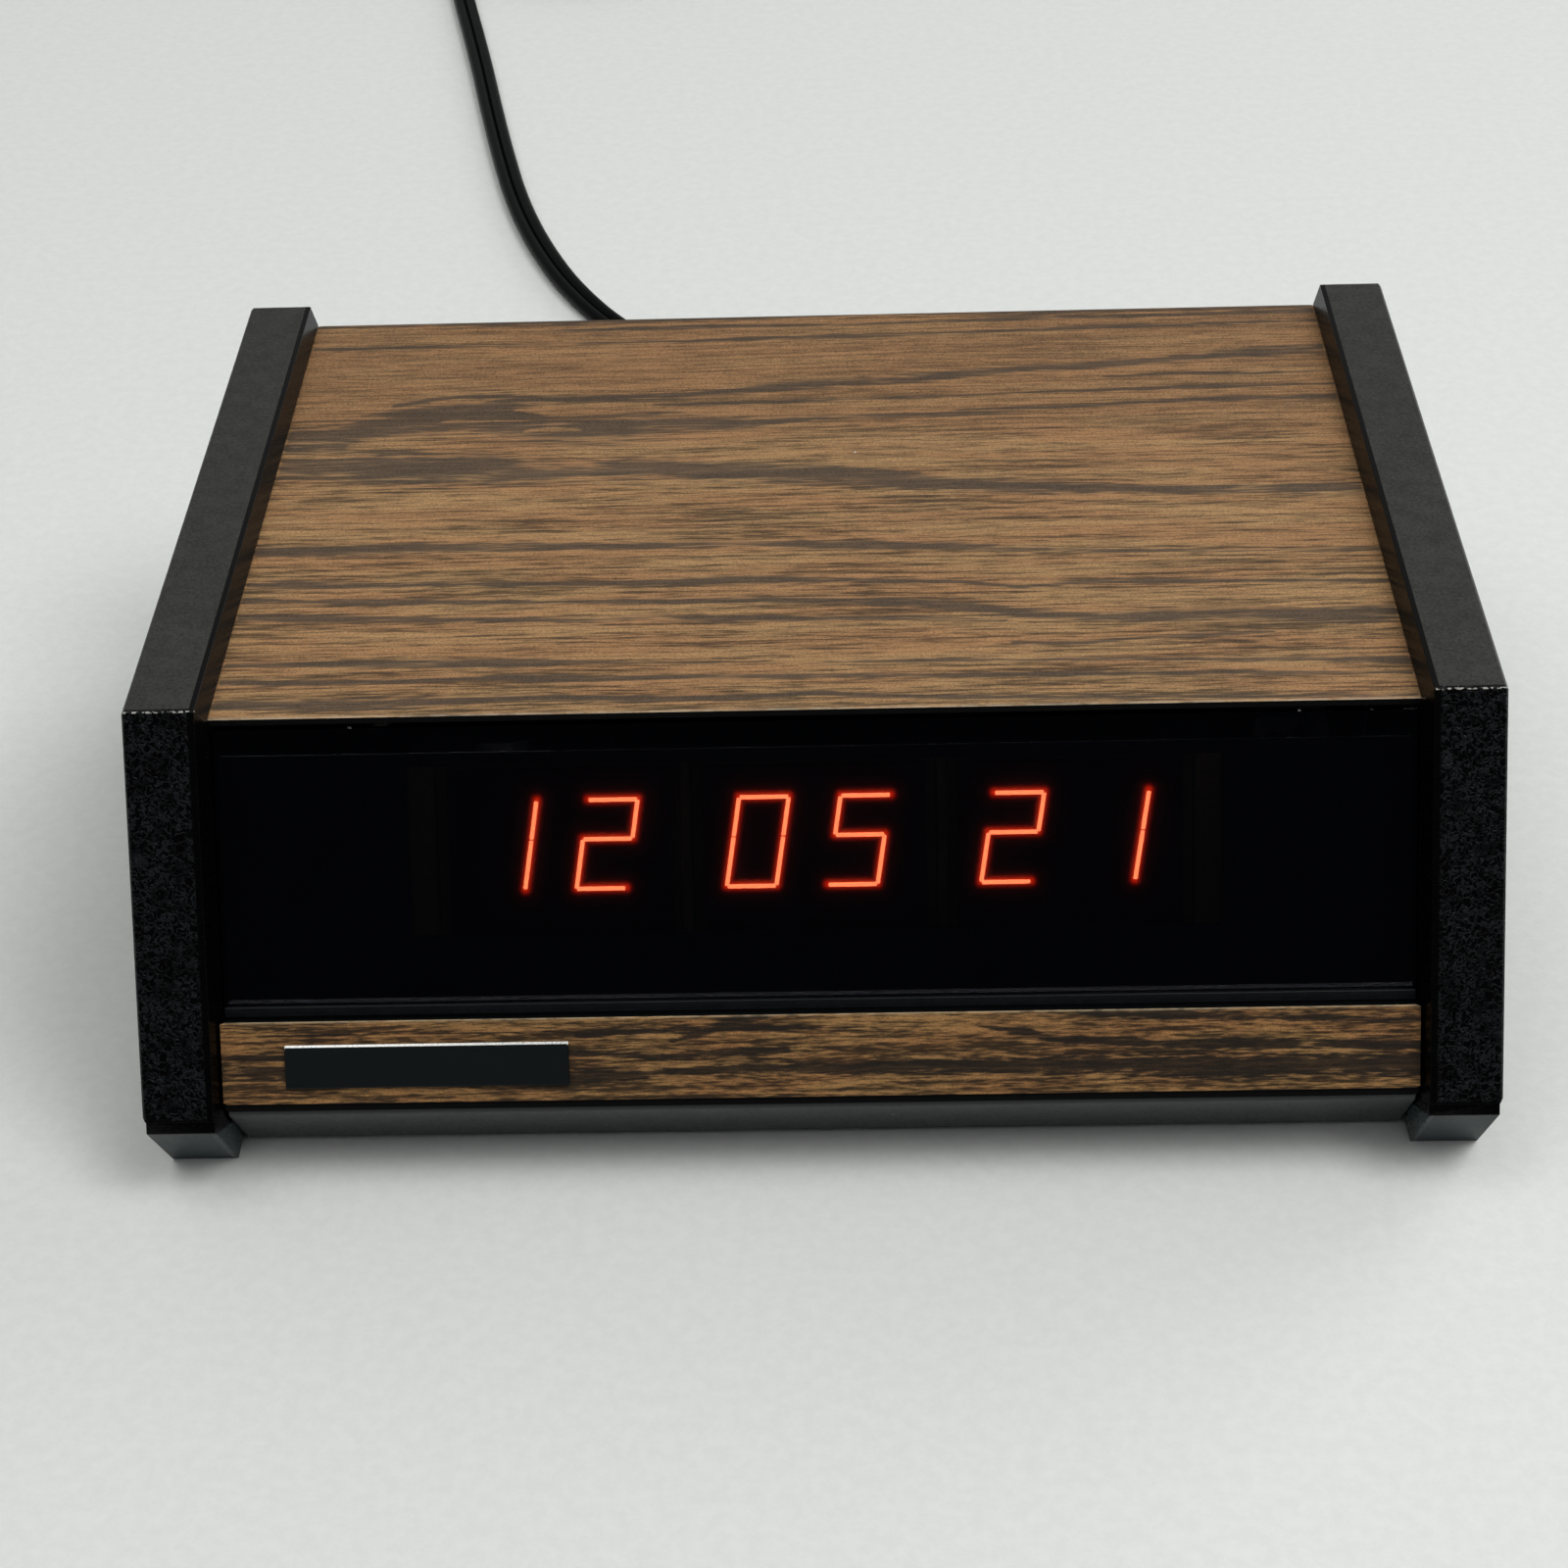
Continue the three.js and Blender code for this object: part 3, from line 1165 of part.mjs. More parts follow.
// Casing
add('left_end_panel', endPanel(-1), 'panel');
add('right_end_panel', endPanel(1), 'panel');
add('top_cover', topCover(), 'wood');
add('base_pan', basePan(), 'steel');
add('rear_panel', rearPanel(), 'steel');
for (const [side, name] of [[-1, 'left'], [1, 'right']]) {
  flangeScrews.forEach((place, i) => {
    add(`${name}_end_screw_${['front', 'rear'][i]}`, endScrew(side, place), 'plating');
  });
}

// Front
add('front_lens', lens(), 'lens', face);
add('lens_sill', sill(), 'black', face);
add('front_trim_strip', trimStrip(), 'wood', face);
add('nameplate', nameplate(), 'plate', face);

// Display
add('display_shield', shield(), 'shield', face);
['hours', 'minutes', 'seconds'].forEach((name, i) => {
  add(`${name}_tube`, tube(tubeX[i]), 'glass', face);
  add(`${name}_tube_socket`, tubeSocket(tubeX[i]), 'black', face);
});
add('display_board', displayBoard(), 'board', face);
add('left_display_bracket', bracket(-bracketX), 'plating');
add('right_display_bracket', bracket(bracketX), 'plating');

// Main board
add('main_board', mainBoard(), 'board');
spacerPlaces.forEach((place, i) => add(`board_spacer_${i + 1}`, spacer(place), 'plating'));
add('chip_socket', chipSocket(), 'black');
add('clock_chip', clockChip(), 'chip');
add('filter_capacitor', capacitor(chipRight + capFromChip + bigCapRadius, mainRear - capFromRear,
  bigCapRadius, bigCapHeight), 'capacitor');
add('coupling_capacitor', capacitor(-chipRight - capFromChip - smallCapRadius,
  mainRear - capFromRear, smallCapRadius, smallCapHeight), 'capacitor');

// Supply and sound
add('transformer_core', transformerCore(), 'core');
add('transformer_winding', transformerWinding(), 'winding');
add('transformer_strap', transformerStrap(), 'plating');
add('speaker_basket', speakerBasket(), 'plating');
add('speaker_cone', speakerCone(), 'cone');
add('speaker_magnet', speakerMagnet(), 'magnet');

// Controls
buttonNames.forEach((name, i) => {
  add(`${name}_switch_body`, buttonHousing(buttonX[i]), 'black');
  add(`${name}_button`, button(buttonX[i]), 'button');
});
switchNames.forEach((name, i) => {
  add(`${name}_switch_case`, switchCase(switchX[i]), 'plating');
  add(`${name}_switch_knob`, switchKnob(switchX[i]), 'button');
});

// Lead
add('strain_relief', solid(strainRelief()), 'lead');
add('supply_lead', supplyLead(), 'lead');
add('lead_coil', leadCoil(), 'lead');
const tie = add('coil_tie', coilTie(), 'black');
tie.position.set(coilCentreX, coilCentreY, 0);
tie.rotation.z = tieAngle;
add('plug_body', plugBody(), 'lead');
add('plug_blade_near', plugBlade(-1), 'brass');
add('plug_blade_far', plugBlade(1), 'brass');

export default clock;
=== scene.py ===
import json
import math

import bmesh
import bpy
import numpy as np
from bpy.props import FloatProperty, FloatVectorProperty, IntProperty, PointerProperty
from mathutils import Matrix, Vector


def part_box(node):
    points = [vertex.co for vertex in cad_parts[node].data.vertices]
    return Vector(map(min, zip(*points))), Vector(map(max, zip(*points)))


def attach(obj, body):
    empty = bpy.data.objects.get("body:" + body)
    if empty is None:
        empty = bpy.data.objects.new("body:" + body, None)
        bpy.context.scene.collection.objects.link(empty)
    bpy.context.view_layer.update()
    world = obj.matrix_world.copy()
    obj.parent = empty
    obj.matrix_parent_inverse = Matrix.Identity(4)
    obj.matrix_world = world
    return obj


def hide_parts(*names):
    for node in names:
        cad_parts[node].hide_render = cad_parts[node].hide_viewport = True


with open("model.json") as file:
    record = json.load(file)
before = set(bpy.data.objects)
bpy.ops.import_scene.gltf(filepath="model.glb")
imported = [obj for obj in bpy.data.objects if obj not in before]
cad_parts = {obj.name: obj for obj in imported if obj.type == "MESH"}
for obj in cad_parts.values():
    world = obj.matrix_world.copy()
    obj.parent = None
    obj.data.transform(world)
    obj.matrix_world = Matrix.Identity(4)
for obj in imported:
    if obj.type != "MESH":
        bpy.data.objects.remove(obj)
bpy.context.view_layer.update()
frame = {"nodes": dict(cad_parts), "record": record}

bl_info = {
    "name": "Shelf Alarm Clock",
    "version": (1, 0, 0),
    "blender": (4, 5, 0),
    "location": "3D View > Sidebar > Clock",
    "description": "Dresses a wedge-shaped alarm clock with glowing digits behind a dark lens",
    "category": "Object",
}

MM = 0.001

# The leaning front, in millimetres: its top edge and how far it leans
FACE_TOP_Y = -44.92
FACE_TOP_Z = 66.43
FACE_LEAN = math.radians(28.5)

# Directions along which a finish changes
ACROSS = (1.0, 0.0, 0.0)
BACKWARDS = (0.0, 1.0, 0.0)
INTO_FACE = (0.0, math.cos(FACE_LEAN), -math.sin(FACE_LEAN))
DOWN_FACE = (0.0, -math.sin(FACE_LEAN), -math.cos(FACE_LEAN))

# Colours that several finishes share
BLACK = (0.0, 0.0, 0.0)
DUST = (0.6, 0.6, 0.58)

# The lead's way over the table, as in the part's source, and its coil
LEAD_ROUTE = [
    (10, 92.7, 15), (10, 98, 14.8), (10, 105, 13), (10, 112.5, 9.3), (9.6, 120, 5.2),
    (7.8, 127, 2.7), (4.6, 133.5, 1.8), (0, 140, 1.7), (-6, 147, 1.7), (-13.5, 155, 1.7),
    (-21.5, 162.5, 1.7), (-29.8, 170, 1.7), (-37.6, 177.8, 1.7), (-44.6, 186.6, 1.7),
    (-50.4, 196, 1.7), (-56.2, 207.5, 1.7), (-61.8, 221.5, 1.7), (-66.4, 235.5, 1.7),
    (-70.4, 250.5, 1.7), (-74, 267, 1.7), (-77.4, 284, 1.7), (-80.8, 302, 1.7),
    (-84.5, 322, 1.7), (-88.6, 343, 1.7), (-92.6, 363, 1.7), (-96, 382, 1.8),
    (-98, 398, 2.1), (-98.5, 407, 2.4), (-98.5, 414.2, 2.4),
]
COIL_CENTRE = (-54.75, 420.0)
COIL_INNER, COIL_PITCH, COIL_TURNS = 22.0, 6.0, 7.25
COIL_Z, COIL_LAYER = 2.4, 3.5
TIE_ANGLE = math.radians(140)

# Dark bands of the cover's grain: x, y and half thickness along each
COVER_BANDS = [
    [(-84, 34.5, 4.2), (-76, 35.5, 4.2), (-70, 38.5, 4.0), (-64, 41, 5.0), (-58, 42.5, 6.0),
     (-52, 42.5, 6.2), (-47, 40, 5.2), (-40, 37, 4.2), (-32, 37, 4.2), (-25, 37.3, 3.8), (-18, 38, 3.0),
     (-10, 37.8, 1.9), (-4, 38.4, 1.0), (0, 39, 0.7), (10, 39.5, 0.7), (20, 39.8, 1.0), (30, 40.3, 0.7),
     (40, 41, 0.5), (55, 42, 0.4), (63, 42.4, 0.8), (75, 42.4, 0.7), (84, 42.6, 0.8)],
    [(-84, 26.5, 2.7), (-75, 26.5, 3.5), (-68, 26.5, 4.6), (-60, 26.5, 5.0), (-54, 26, 4.7),
     (-48, 24.5, 3.6), (-44, 23.8, 2.8), (-38, 23.6, 2.6), (-30, 23.9, 2.8), (-22, 24.2, 2.8),
     (-15, 23, 2.6), (-8, 22.5, 2.5), (0, 21.6, 2.6), (6, 20.6, 2.3), (12, 19.4, 2.2), (20, 18.5, 1.6),
     (28, 17.2, 1.8), (36, 16.4, 1.5), (45, 15.6, 1.2), (60, 14.8, 1.1), (72, 14.7, 1.2), (84, 14.3, 1.7)],
    [(-2, 23.4, 0.2), (3, 22.9, 0.6), (9, 22.2, 0.8), (13, 21.6, 0.6), (17, 21.2, 0.1)],
    [(-68, 45.4, 0.8), (-60, 47.8, 1.0), (-54, 48.3, 0.9), (-47, 47.3, 1.2), (-40, 46.6, 1.1),
     (-30, 46.6, 1.0), (-20, 47.2, 0.9), (-12, 48.3, 1.0), (-6, 49.2, 1.2), (0, 49.7, 1.3), (10, 50.6, 1.2),
     (20, 51.8, 1.3), (30, 53, 1.3), (40, 53.8, 1.3), (50, 54.8, 1.3), (60, 55.7, 1.1), (70, 57.2, 1.2),
     (84, 58.8, 1.6)],
    [(-30, 44, 0.05), (-20, 44.3, 0.4), (-10, 44.5, 0.5), (10, 44.8, 0.3), (40, 46, 0.3), (60, 46.4, 0.5),
     (84, 46.6, 0.4)],
    [(46, 50.3, 0.05), (54, 50.7, 0.4), (62, 51, 0.6), (72, 50.6, 0.4), (84, 51, 0.1)],
    [(-84, 2.2, 1.2), (-70, 2, 1.2), (-55, 2.5, 1.3), (-45, 2.2, 1.2), (-35, 2, 0.9), (-20, 1.8, 0.8),
     (-10, 1.7, 0.7), (0, 1.2, 1.0), (10, 0.7, 1.0), (20, 0.2, 0.9), (30, -1, 0.6), (40, -1.8, 0.5),
     (50, -2.3, 0.5), (60, -2.7, 0.4), (84, -3, 0.3)],
    [(-84, -6.8, 1.1), (-76, -7, 1.0), (-65, -7.8, 0.7), (-50, -8, 0.6), (-35, -8.5, 0.5), (-20, -8.3, 0.7),
     (-10, -8, 0.9), (0, -8.4, 0.8), (10, -9, 0.6), (20, -9.6, 0.4), (25, -10.3, 0.5), (31, -11.4, 0.6),
     (36, -10.6, 0.6), (45, -10.4, 0.6), (60, -10.8, 0.4), (84, -11.6, 0.4)],
    [(-84, -11.3, 0.9), (-70, -12, 0.7), (-55, -12.5, 0.7), (-45, -13, 0.6), (-30, -13.2, 0.5),
     (-20, -13.5, 0.6), (-8, -13.5, 0.7), (5, -14.2, 0.7), (12, -15, 1.0), (20, -16, 1.0), (28, -17.7, 1.2),
     (33, -18.8, 1.2), (40, -19.5, 1.1), (50, -19.6, 1.3), (60, -19.4, 1.5), (70, -20, 1.4),
     (84, -20.5, 2.0)],
    [(-84, -15.8, 0.8), (-72, -16.3, 0.9), (-60, -16.8, 0.7), (-50, -17.3, 0.6), (-35, -17.8, 0.6),
     (-20, -17.8, 0.7), (-10, -18.5, 0.8), (0, -18.8, 0.5), (15, -19, 0.5), (28, -20.2, 0.3)],
    [(-84, -28, 0.7), (-70, -28.3, 0.6), (-55, -28.5, 0.9), (-42, -28.8, 1.0), (-36, -28.6, 0.5),
     (-28, -29, 0.3), (-10, -29.5, 0.3), (20, -30, 0.4), (40, -30.4, 0.4), (60, -31, 0.4), (72, -31.5, 0.5),
     (84, -32, 0.9)],
    [(-84, -32.3, 0.8), (-76, -32.8, 0.7), (-60, -32.8, 0.5), (-50, -32.5, 0.4), (-42, -32.3, 0.7),
     (-35, -33, 0.9), (-28, -33, 0.5), (-15, -33, 0.6), (0, -33.3, 0.6), (20, -33.8, 0.5), (40, -34, 0.5),
     (60, -34.3, 0.5), (84, -35.2, 0.4)],
    [(-84, -38, 0.9), (-70, -38.2, 1.2), (-55, -38, 1.1), (-45, -37.4, 0.6), (-35, -37.5, 0.6),
     (-25, -38.2, 0.7), (-10, -38.3, 0.6), (0, -37.5, 0.5), (10, -38.5, 0.5), (20, -39, 0.5),
     (35, -39.6, 0.5), (50, -40, 0.4), (84, -40.4, 0.3)],
    [(28, -26, 0.3), (38, -26.3, 0.4), (46, -25.5, 0.3), (55, -24.8, 0.5), (66, -24.3, 0.3)],
    [(-84, 65.2, 0.6), (-70, 65.2, 0.5), (-60, 65.5, 0.4), (-45, 65.5, 0.4), (-20, 65.5, 0.5),
     (-10, 66, 0.7), (0, 66, 0.6), (20, 66.3, 0.5), (35, 67, 0.5), (60, 67.6, 0.5), (75, 68, 0.4),
     (84, 68, 0.3)],
    [(-50, 69.8, 0.05), (-38, 70.2, 0.4), (-20, 70.5, 0.7), (5, 70, 0.4), (30, 71, 0.7), (60, 71, 0.5),
     (84, 71.5, 0.5)],
    [(-84, 73.6, 1.0), (-40, 73.2, 0.9), (0, 73.8, 1.0), (40, 73.2, 0.9), (84, 73.6, 1.0)],
]

# Pale slivers that cross the dark bands
COVER_SLIVERS = [
    [(-74, 32.6, 0.4), (-66, 33.2, 0.8), (-60, 33.3, 1.1), (-54, 33, 0.8), (-48, 32.6, 0.2)],
    [(-86, 29.9, 0.6), (-76, 30, 0.5), (-69, 30, 0.1)],
    [(-62, 46.7, 0.2), (-56, 46.8, 0.4), (-52, 46.8, 0.2)],
    [(-48, 43.5, 0.2), (-42, 43, 1.2), (-33, 43.5, 1.2), (-26, 44, 0.4)],
    [(-60, 40.4, 0.1), (-57, 40.4, 0.3), (-53, 40.2, 0.1)],
    [(-46, 36.8, 0.2), (-42, 37, 0.7), (-37, 36.8, 0.2)],
]

# The same for the strip under the lens: x, how far down the face, half thickness
STRIP_BANDS = [
    [(-84, 51.4, 1.0), (-70, 52.2, 0.8), (-45, 53.4, 0.6), (-34, 53, 0.7), (-20, 52.4, 0.5),
     (-8, 51.9, 0.7), (4, 52.5, 0.6), (16, 52, 0.8), (30, 52.2, 1.0), (45, 52.5, 1.2), (60, 52.8, 1.3),
     (75, 52.8, 1.2), (84, 52.8, 1.2)],
    [(-21, 48.2, 0.05), (-15, 46.5, 0.7), (-11, 45.3, 0.8), (-7, 44.6, 0.4)],
    [(22, 46.4, 0.2), (28, 47.2, 0.6), (34, 48.6, 0.5), (48, 49.3, 0.5), (66, 49.9, 0.7), (84, 49.9, 0.5)],
    [(36, 44.6, 0.2), (42, 45, 0.7), (50, 45.4, 0.8), (64, 45.8, 0.5), (84, 46.4, 0.4)],
    [(-84, 49.4, 0.3), (-76, 49.6, 0.4), (-34, 49.4, 0.4), (-22, 50.2, 0.4), (-4, 49.4, 0.3)],
    [(-34, 47, 0.3), (-24, 46.4, 0.5), (-2, 46.2, 0.3)],
]

# The lit segments of each digit; each digit's tube and the x of its upper right corner
SEGMENTS = {"1": "bc", "2": "abged", "0": "abcdef", "5": "afgcd"}
DIGITS = [("hours", "1", -39.1), ("hours", "2", -24.8), ("minutes", "0", -3.5), ("minutes", "5", 10.8),
          ("seconds", "2", 32.4), ("seconds", "1", 47.06)]

# How far down the face the tubes begin and end
TUBE_TOP, TUBE_BOTTOM = 8.9, 34.4


def srgb(red, green, blue):
    """A colour written as 0 to 255 on a screen, as the linear values that Blender keeps."""
    values = np.array([red, green, blue]) / 255
    return tuple(np.where(values <= 0.04045, values / 12.92, ((values + 0.055) / 1.055) ** 2.4))


def colour(name, description, *default):
    """A colour that the user can change, its default written as on a screen."""
    return FloatVectorProperty(name=name, description=description, subtype="COLOR", size=3, min=0, max=1,
                               default=srgb(*default))


def length(name, description, default):
    """A length that the user can change, in metres."""
    return FloatProperty(name=name, description=description, unit="LENGTH", min=0, default=default,
                         precision=5)


class ClockSizes(bpy.types.PropertyGroup):
    """Sizes that only the finished look needs"""

    panel_edge: length("Panel edge", "Radius of the end panels' outer edges", 0.0002)
    metal_edge: length("Metal edge", "Radius of the cut edges of sheet metal", 0.00018)
    cover_edge: length("Cover edge", "Radius of the cover's rolled edges", 0.0002)
    stroke_width: length("Stroke width", "Width of a lit segment", 0.0006)
    stroke_depth: length("Stroke depth", "Thickness of a lit segment", 0.0003)
    digit_width: length("Digit width", "Width of a digit between the middles of its strokes", 0.007)
    core_radius: length("Core radius", "Radius of each core of the flat lead", 0.00142)
    lead_width: length("Lead width", "Width of the flat lead over both cores", 0.0055)
    coil_steps: IntProperty(name="Coil steps", description="Sections of the lead in one turn of its coil",
                            min=12, default=60)


class ClockColours(bpy.types.PropertyGroup):
    """Colours of the finishes"""

    panel: colour("Panels", "Moulded end panels", 53, 53, 51)
    wood_light: colour("Wood, light", "Yellowish parts of the wood's ground", 178, 140, 96)
    wood_mid: colour("Wood, middle", "Reddish parts of the wood's ground", 176, 132, 90)
    wood_dark: colour("Wood, dark", "Fine dark flecks of the wood grain", 66, 52, 37)
    wood_band: colour("Wood, bands", "Broad dark bands of the wood grain", 95, 80, 65)
    sheet: colour("Sheet metal", "Painted pan and rear panel", 5, 10, 12)
    lens: colour("Lens", "Tint of the lens at each of its faces", 132, 130, 141)
    glow: colour("Glow", "Light of the lit segments", 255, 127, 76)
    halo: colour("Halo", "Faint light round the lit segments", 255, 40, 8)
    lead: colour("Lead", "Sheath of the supply lead", 4, 5, 5)
    floor: colour("Floor", "Table under the clock", 226, 228, 225)


# Nodes


class Tree:
    """Adds nodes to a node tree, and is called t where they are added."""

    def __init__(self, tree):
        self.tree = tree

    def add(self, kind, inputs=None, **settings):
        """A node with its settings, and its inputs by name or number."""
        node = self.tree.nodes.new(kind)
        for key, value in settings.items():
            setattr(node, key, value)
        for key, value in (inputs or {}).items():
            self.put(value, node.inputs[key])
        return node

    def put(self, value, socket):
        """Links an input to a socket or writes a value to it; a colour is given as three values."""
        if isinstance(value, bpy.types.NodeSocket):
            self.tree.links.new(value, socket)
        else:
            socket.default_value = (*value, 1) if socket.type == "RGBA" else value

    def math(self, operation, *values):
        """What a Math node makes of its values."""
        return self.add("ShaderNodeMath", dict(enumerate(values)), operation=operation).outputs[0]

    def plus(self, first, second):
        """The sum of two values."""
        return self.math("ADD", first, second)

    def minus(self, first, second):
        """One value less another."""
        return self.math("SUBTRACT", first, second)

    def times(self, first, second):
        """The product of two values."""
        return self.math("MULTIPLY", first, second)

    def larger(self, first, second):
        """The larger of two values."""
        return self.math("MAXIMUM", first, second)

    def scaled(self, value, factor, offset):
        """A value times a factor, and an offset added."""
        return self.math("MULTIPLY_ADD", value, factor, offset)

    def smooth(self, value, low, high, to_low=0.0, to_high=1.0):
        """A soft step from one result to another between two limits of a value."""
        return self.add("ShaderNodeMapRange", {0: value, 1: low, 2: high, 3: to_low, 4: to_high},
                        interpolation_type="SMOOTHSTEP").outputs[0]

    def stretch(self, vector, scale):
        """A place with each of its parts times its own scale."""
        return self.add("ShaderNodeVectorMath", {0: vector, 1: scale}, operation="MULTIPLY").outputs[0]

    def noise(self, vector, scale, detail=2.0, roughness=0.5, distortion=0.0):
        """A noise that varies about one half."""
        return self.add("ShaderNodeTexNoise", {"Vector": vector, "Scale": scale, "Detail": detail,
                                               "Roughness": roughness, "Distortion": distortion}).outputs[0]

    def mix(self, factor, first, second):
        """From the first colour to the second as the factor goes from 0 to 1."""
        return self.add("ShaderNodeMix", {0: factor, 6: first, 7: second}, data_type="RGBA").outputs[2]


def group(name, inputs, outputs, build):
    """A shader node group: named sockets, and a build function that links one to the other.

    An input's default tells its kind: a number, three values for a vector or four for a colour.
    """
    tree = bpy.data.node_groups.new(name, "ShaderNodeTree")
    for title, default in {"Position": (0.0, 0.0, 0.0), **inputs}.items():
        kind = "Float" if isinstance(default, float) else "Vector" if len(default) == 3 else "Color"
        socket = tree.interface.new_socket(name=title, in_out="INPUT", socket_type="NodeSocket" + kind)
        socket.default_value = default
    for title in outputs:
        kind = "Color" if title == "Color" else "Float"
        tree.interface.new_socket(name=title, in_out="OUTPUT", socket_type="NodeSocket" + kind)
    maker = Tree(tree)
    start = tree.nodes.new("NodeGroupInput")
    end = tree.nodes.new("NodeGroupOutput")
    for title, value in build(maker, start.outputs).items():
        maker.put(value, end.inputs[title])
    return tree


def leather(t, given):
    """Wormy ridges where a warped noise passes through its middle, broken up, over a pebbled ground."""
    warped = t.noise(given["Position"], given["Scale"], 1.0, 0.4, 0.9)
    ridge = t.smooth(t.math("ABSOLUTE", t.minus(warped, 0.5)), 0.01, given["Width"], 1.0, 0.0)
    broken = t.smooth(t.noise(given["Position"], t.times(given["Scale"], 0.3)), 0.38, 0.58)
    pebble = t.noise(given["Position"], t.times(given["Scale"], 1.7))
    worms = t.times(ridge, t.scaled(broken, 0.7, 0.3))
    return {"Height": t.plus(worms, t.times(pebble, 0.5)), "Ridges": worms}


def fine_grain(t, given):
    """Fine moulding grain: small bumps over larger, fainter ones."""
    small = t.noise(given["Position"], given["Scale"], 2.0, 0.6)
    large = t.noise(given["Position"], t.times(given["Scale"], 0.2))
    height = t.plus(t.times(small, 0.7), t.times(large, 0.3))
    return {"Height": height, "Shade": t.smooth(height, 0.3, 0.7)}


def dust(t, given):
    """Specks: cells of a Voronoi pattern that draw a high number show a dot at their middle."""
    cells = t.add("ShaderNodeTexVoronoi", {"Vector": given["Position"], "Scale": given["Scale"]})
    drawn = t.add("ShaderNodeSeparateColor", {0: cells.outputs["Color"]}).outputs
    chosen = t.math("GREATER_THAN", drawn[0], t.minus(1.0, given["Share"]))
    dot = t.math("LESS_THAN", cells.outputs["Distance"], t.scaled(drawn[1], 0.09, 0.03))
    return {"Mask": t.times(chosen, dot)}


def wood(t, given):
    """Printed grain along X: dark flecks and threads over a speckled ground, and the piece's own bands."""
    def streaks(where, along, across, detail=2.0, roughness=0.5):
        """A noise drawn out along X: its cells in a metre along the grain and across it."""
        return t.noise(t.stretch(where, (along, across, across)), 1.0, detail, roughness)

    place = given["Position"]
    sideways = t.scaled(streaks(place, 14, 45), 0.0024, -0.0012)
    shift = t.add("ShaderNodeCombineXYZ", {1: sideways}).outputs[0]
    waved = t.add("ShaderNodeVectorMath", {0: place, 1: shift}, operation="ADD").outputs[0]
    dashes = streaks(waved, 210, 3000, roughness=0.6)
    threads = streaks(waved, 40, 1300, 3.0, 0.66)
    patches = streaks(waved, 24, 150)
    tints = streaks(place, 35, 260)
    specks = streaks(place, 2600, 4200, roughness=0.7)
    grit = t.minus(specks, 0.5)

    # How dark each place is: dashes and threads, in patches, roughened by the grit
    depth = t.scaled(t.minus(threads, 0.5), 1.3, dashes)
    depth = t.scaled(t.minus(patches, 0.5), 0.4, depth)
    depth = t.scaled(grit, 0.3, t.plus(depth, given["Density"]))
    fleck = t.times(t.smooth(depth, 0.42, 0.8), t.scaled(given["Calm"], -0.4, 0.84))

    # The ground between the flecks, and how bright it is, with painted shade towards the rear
    calm_and_shade = t.times(given["Calm"], 0.5)
    tinge = t.minus(t.smooth(tints, 0.38, 0.62), calm_and_shade)
    ground = t.mix(tinge, given["Middle"], given["Light"])
    bright = t.scaled(grit, 1.8, t.smooth(depth, 0.2, 0.6, 0.84, 0.62))
    # Painted shade: the ground darker towards the rear
    bright = t.scaled(calm_and_shade, -0.22, bright)

    # The bands, ragged where the grain breaks them
    broken = t.smooth(streaks(place, 75, 420), 0.3, 0.62, 0.62, 1.1)
    ragged = t.scaled(grit, 0.7, t.times(given["Figure"], broken))
    band = t.smooth(t.scaled(t.minus(depth, 0.5), 1.05, ragged), 0.2, 0.76)
    tone = t.mix(t.times(band, 0.9), t.mix(fleck, ground, given["Dark"]), given["Band"])
    return {"Color": t.mix(bright, BLACK, tone), "Height": t.minus(1.0, t.larger(fleck, band)),
            "Roughness": t.scaled(specks, 0.14, given["Roughness"])}


def slab(t, given):
    """1 where a position along one axis lies between two limits, with soft edges."""
    along = t.add("ShaderNodeVectorMath", {0: given["Position"], 1: given["Axis"]},
                  operation="DOT_PRODUCT").outputs[1]
    rise = t.smooth(along, t.minus(given["From"], given["Soft"]), given["From"])
    fall = t.smooth(along, given["To"], t.plus(given["To"], given["Soft"]), 1.0, 0.0)
    return {"Mask": t.times(rise, fall)}


EFFECTS = {}


def make_effects():
    """All node groups, each made once."""
    shades = dict.fromkeys(("Light", "Middle", "Dark", "Band"), (0.1, 0.1, 0.1, 1.0))
    for key, title, inputs, outputs, build in (
            ("leather", "Leather relief", {"Scale": 900.0, "Width": 0.07}, ("Height", "Ridges"), leather),
            ("grain", "Fine grain", {"Scale": 2600.0}, ("Height", "Shade"), fine_grain),
            ("dust", "Dust specks", {"Scale": 160.0, "Share": 0.1}, ("Mask",), dust),
            ("slab", "Slab", {"Axis": ACROSS, "From": 0.0, "To": 1.0, "Soft": 0.0002}, ("Mask",), slab),
            ("wood", "Wood grain", {"Figure": 0.0, "Calm": 0.0, "Density": 0.0, **shades,
                                    "Roughness": 0.4}, ("Color", "Height", "Roughness"), wood)):
        EFFECTS[key] = group(title, inputs, outputs, build)


# Materials


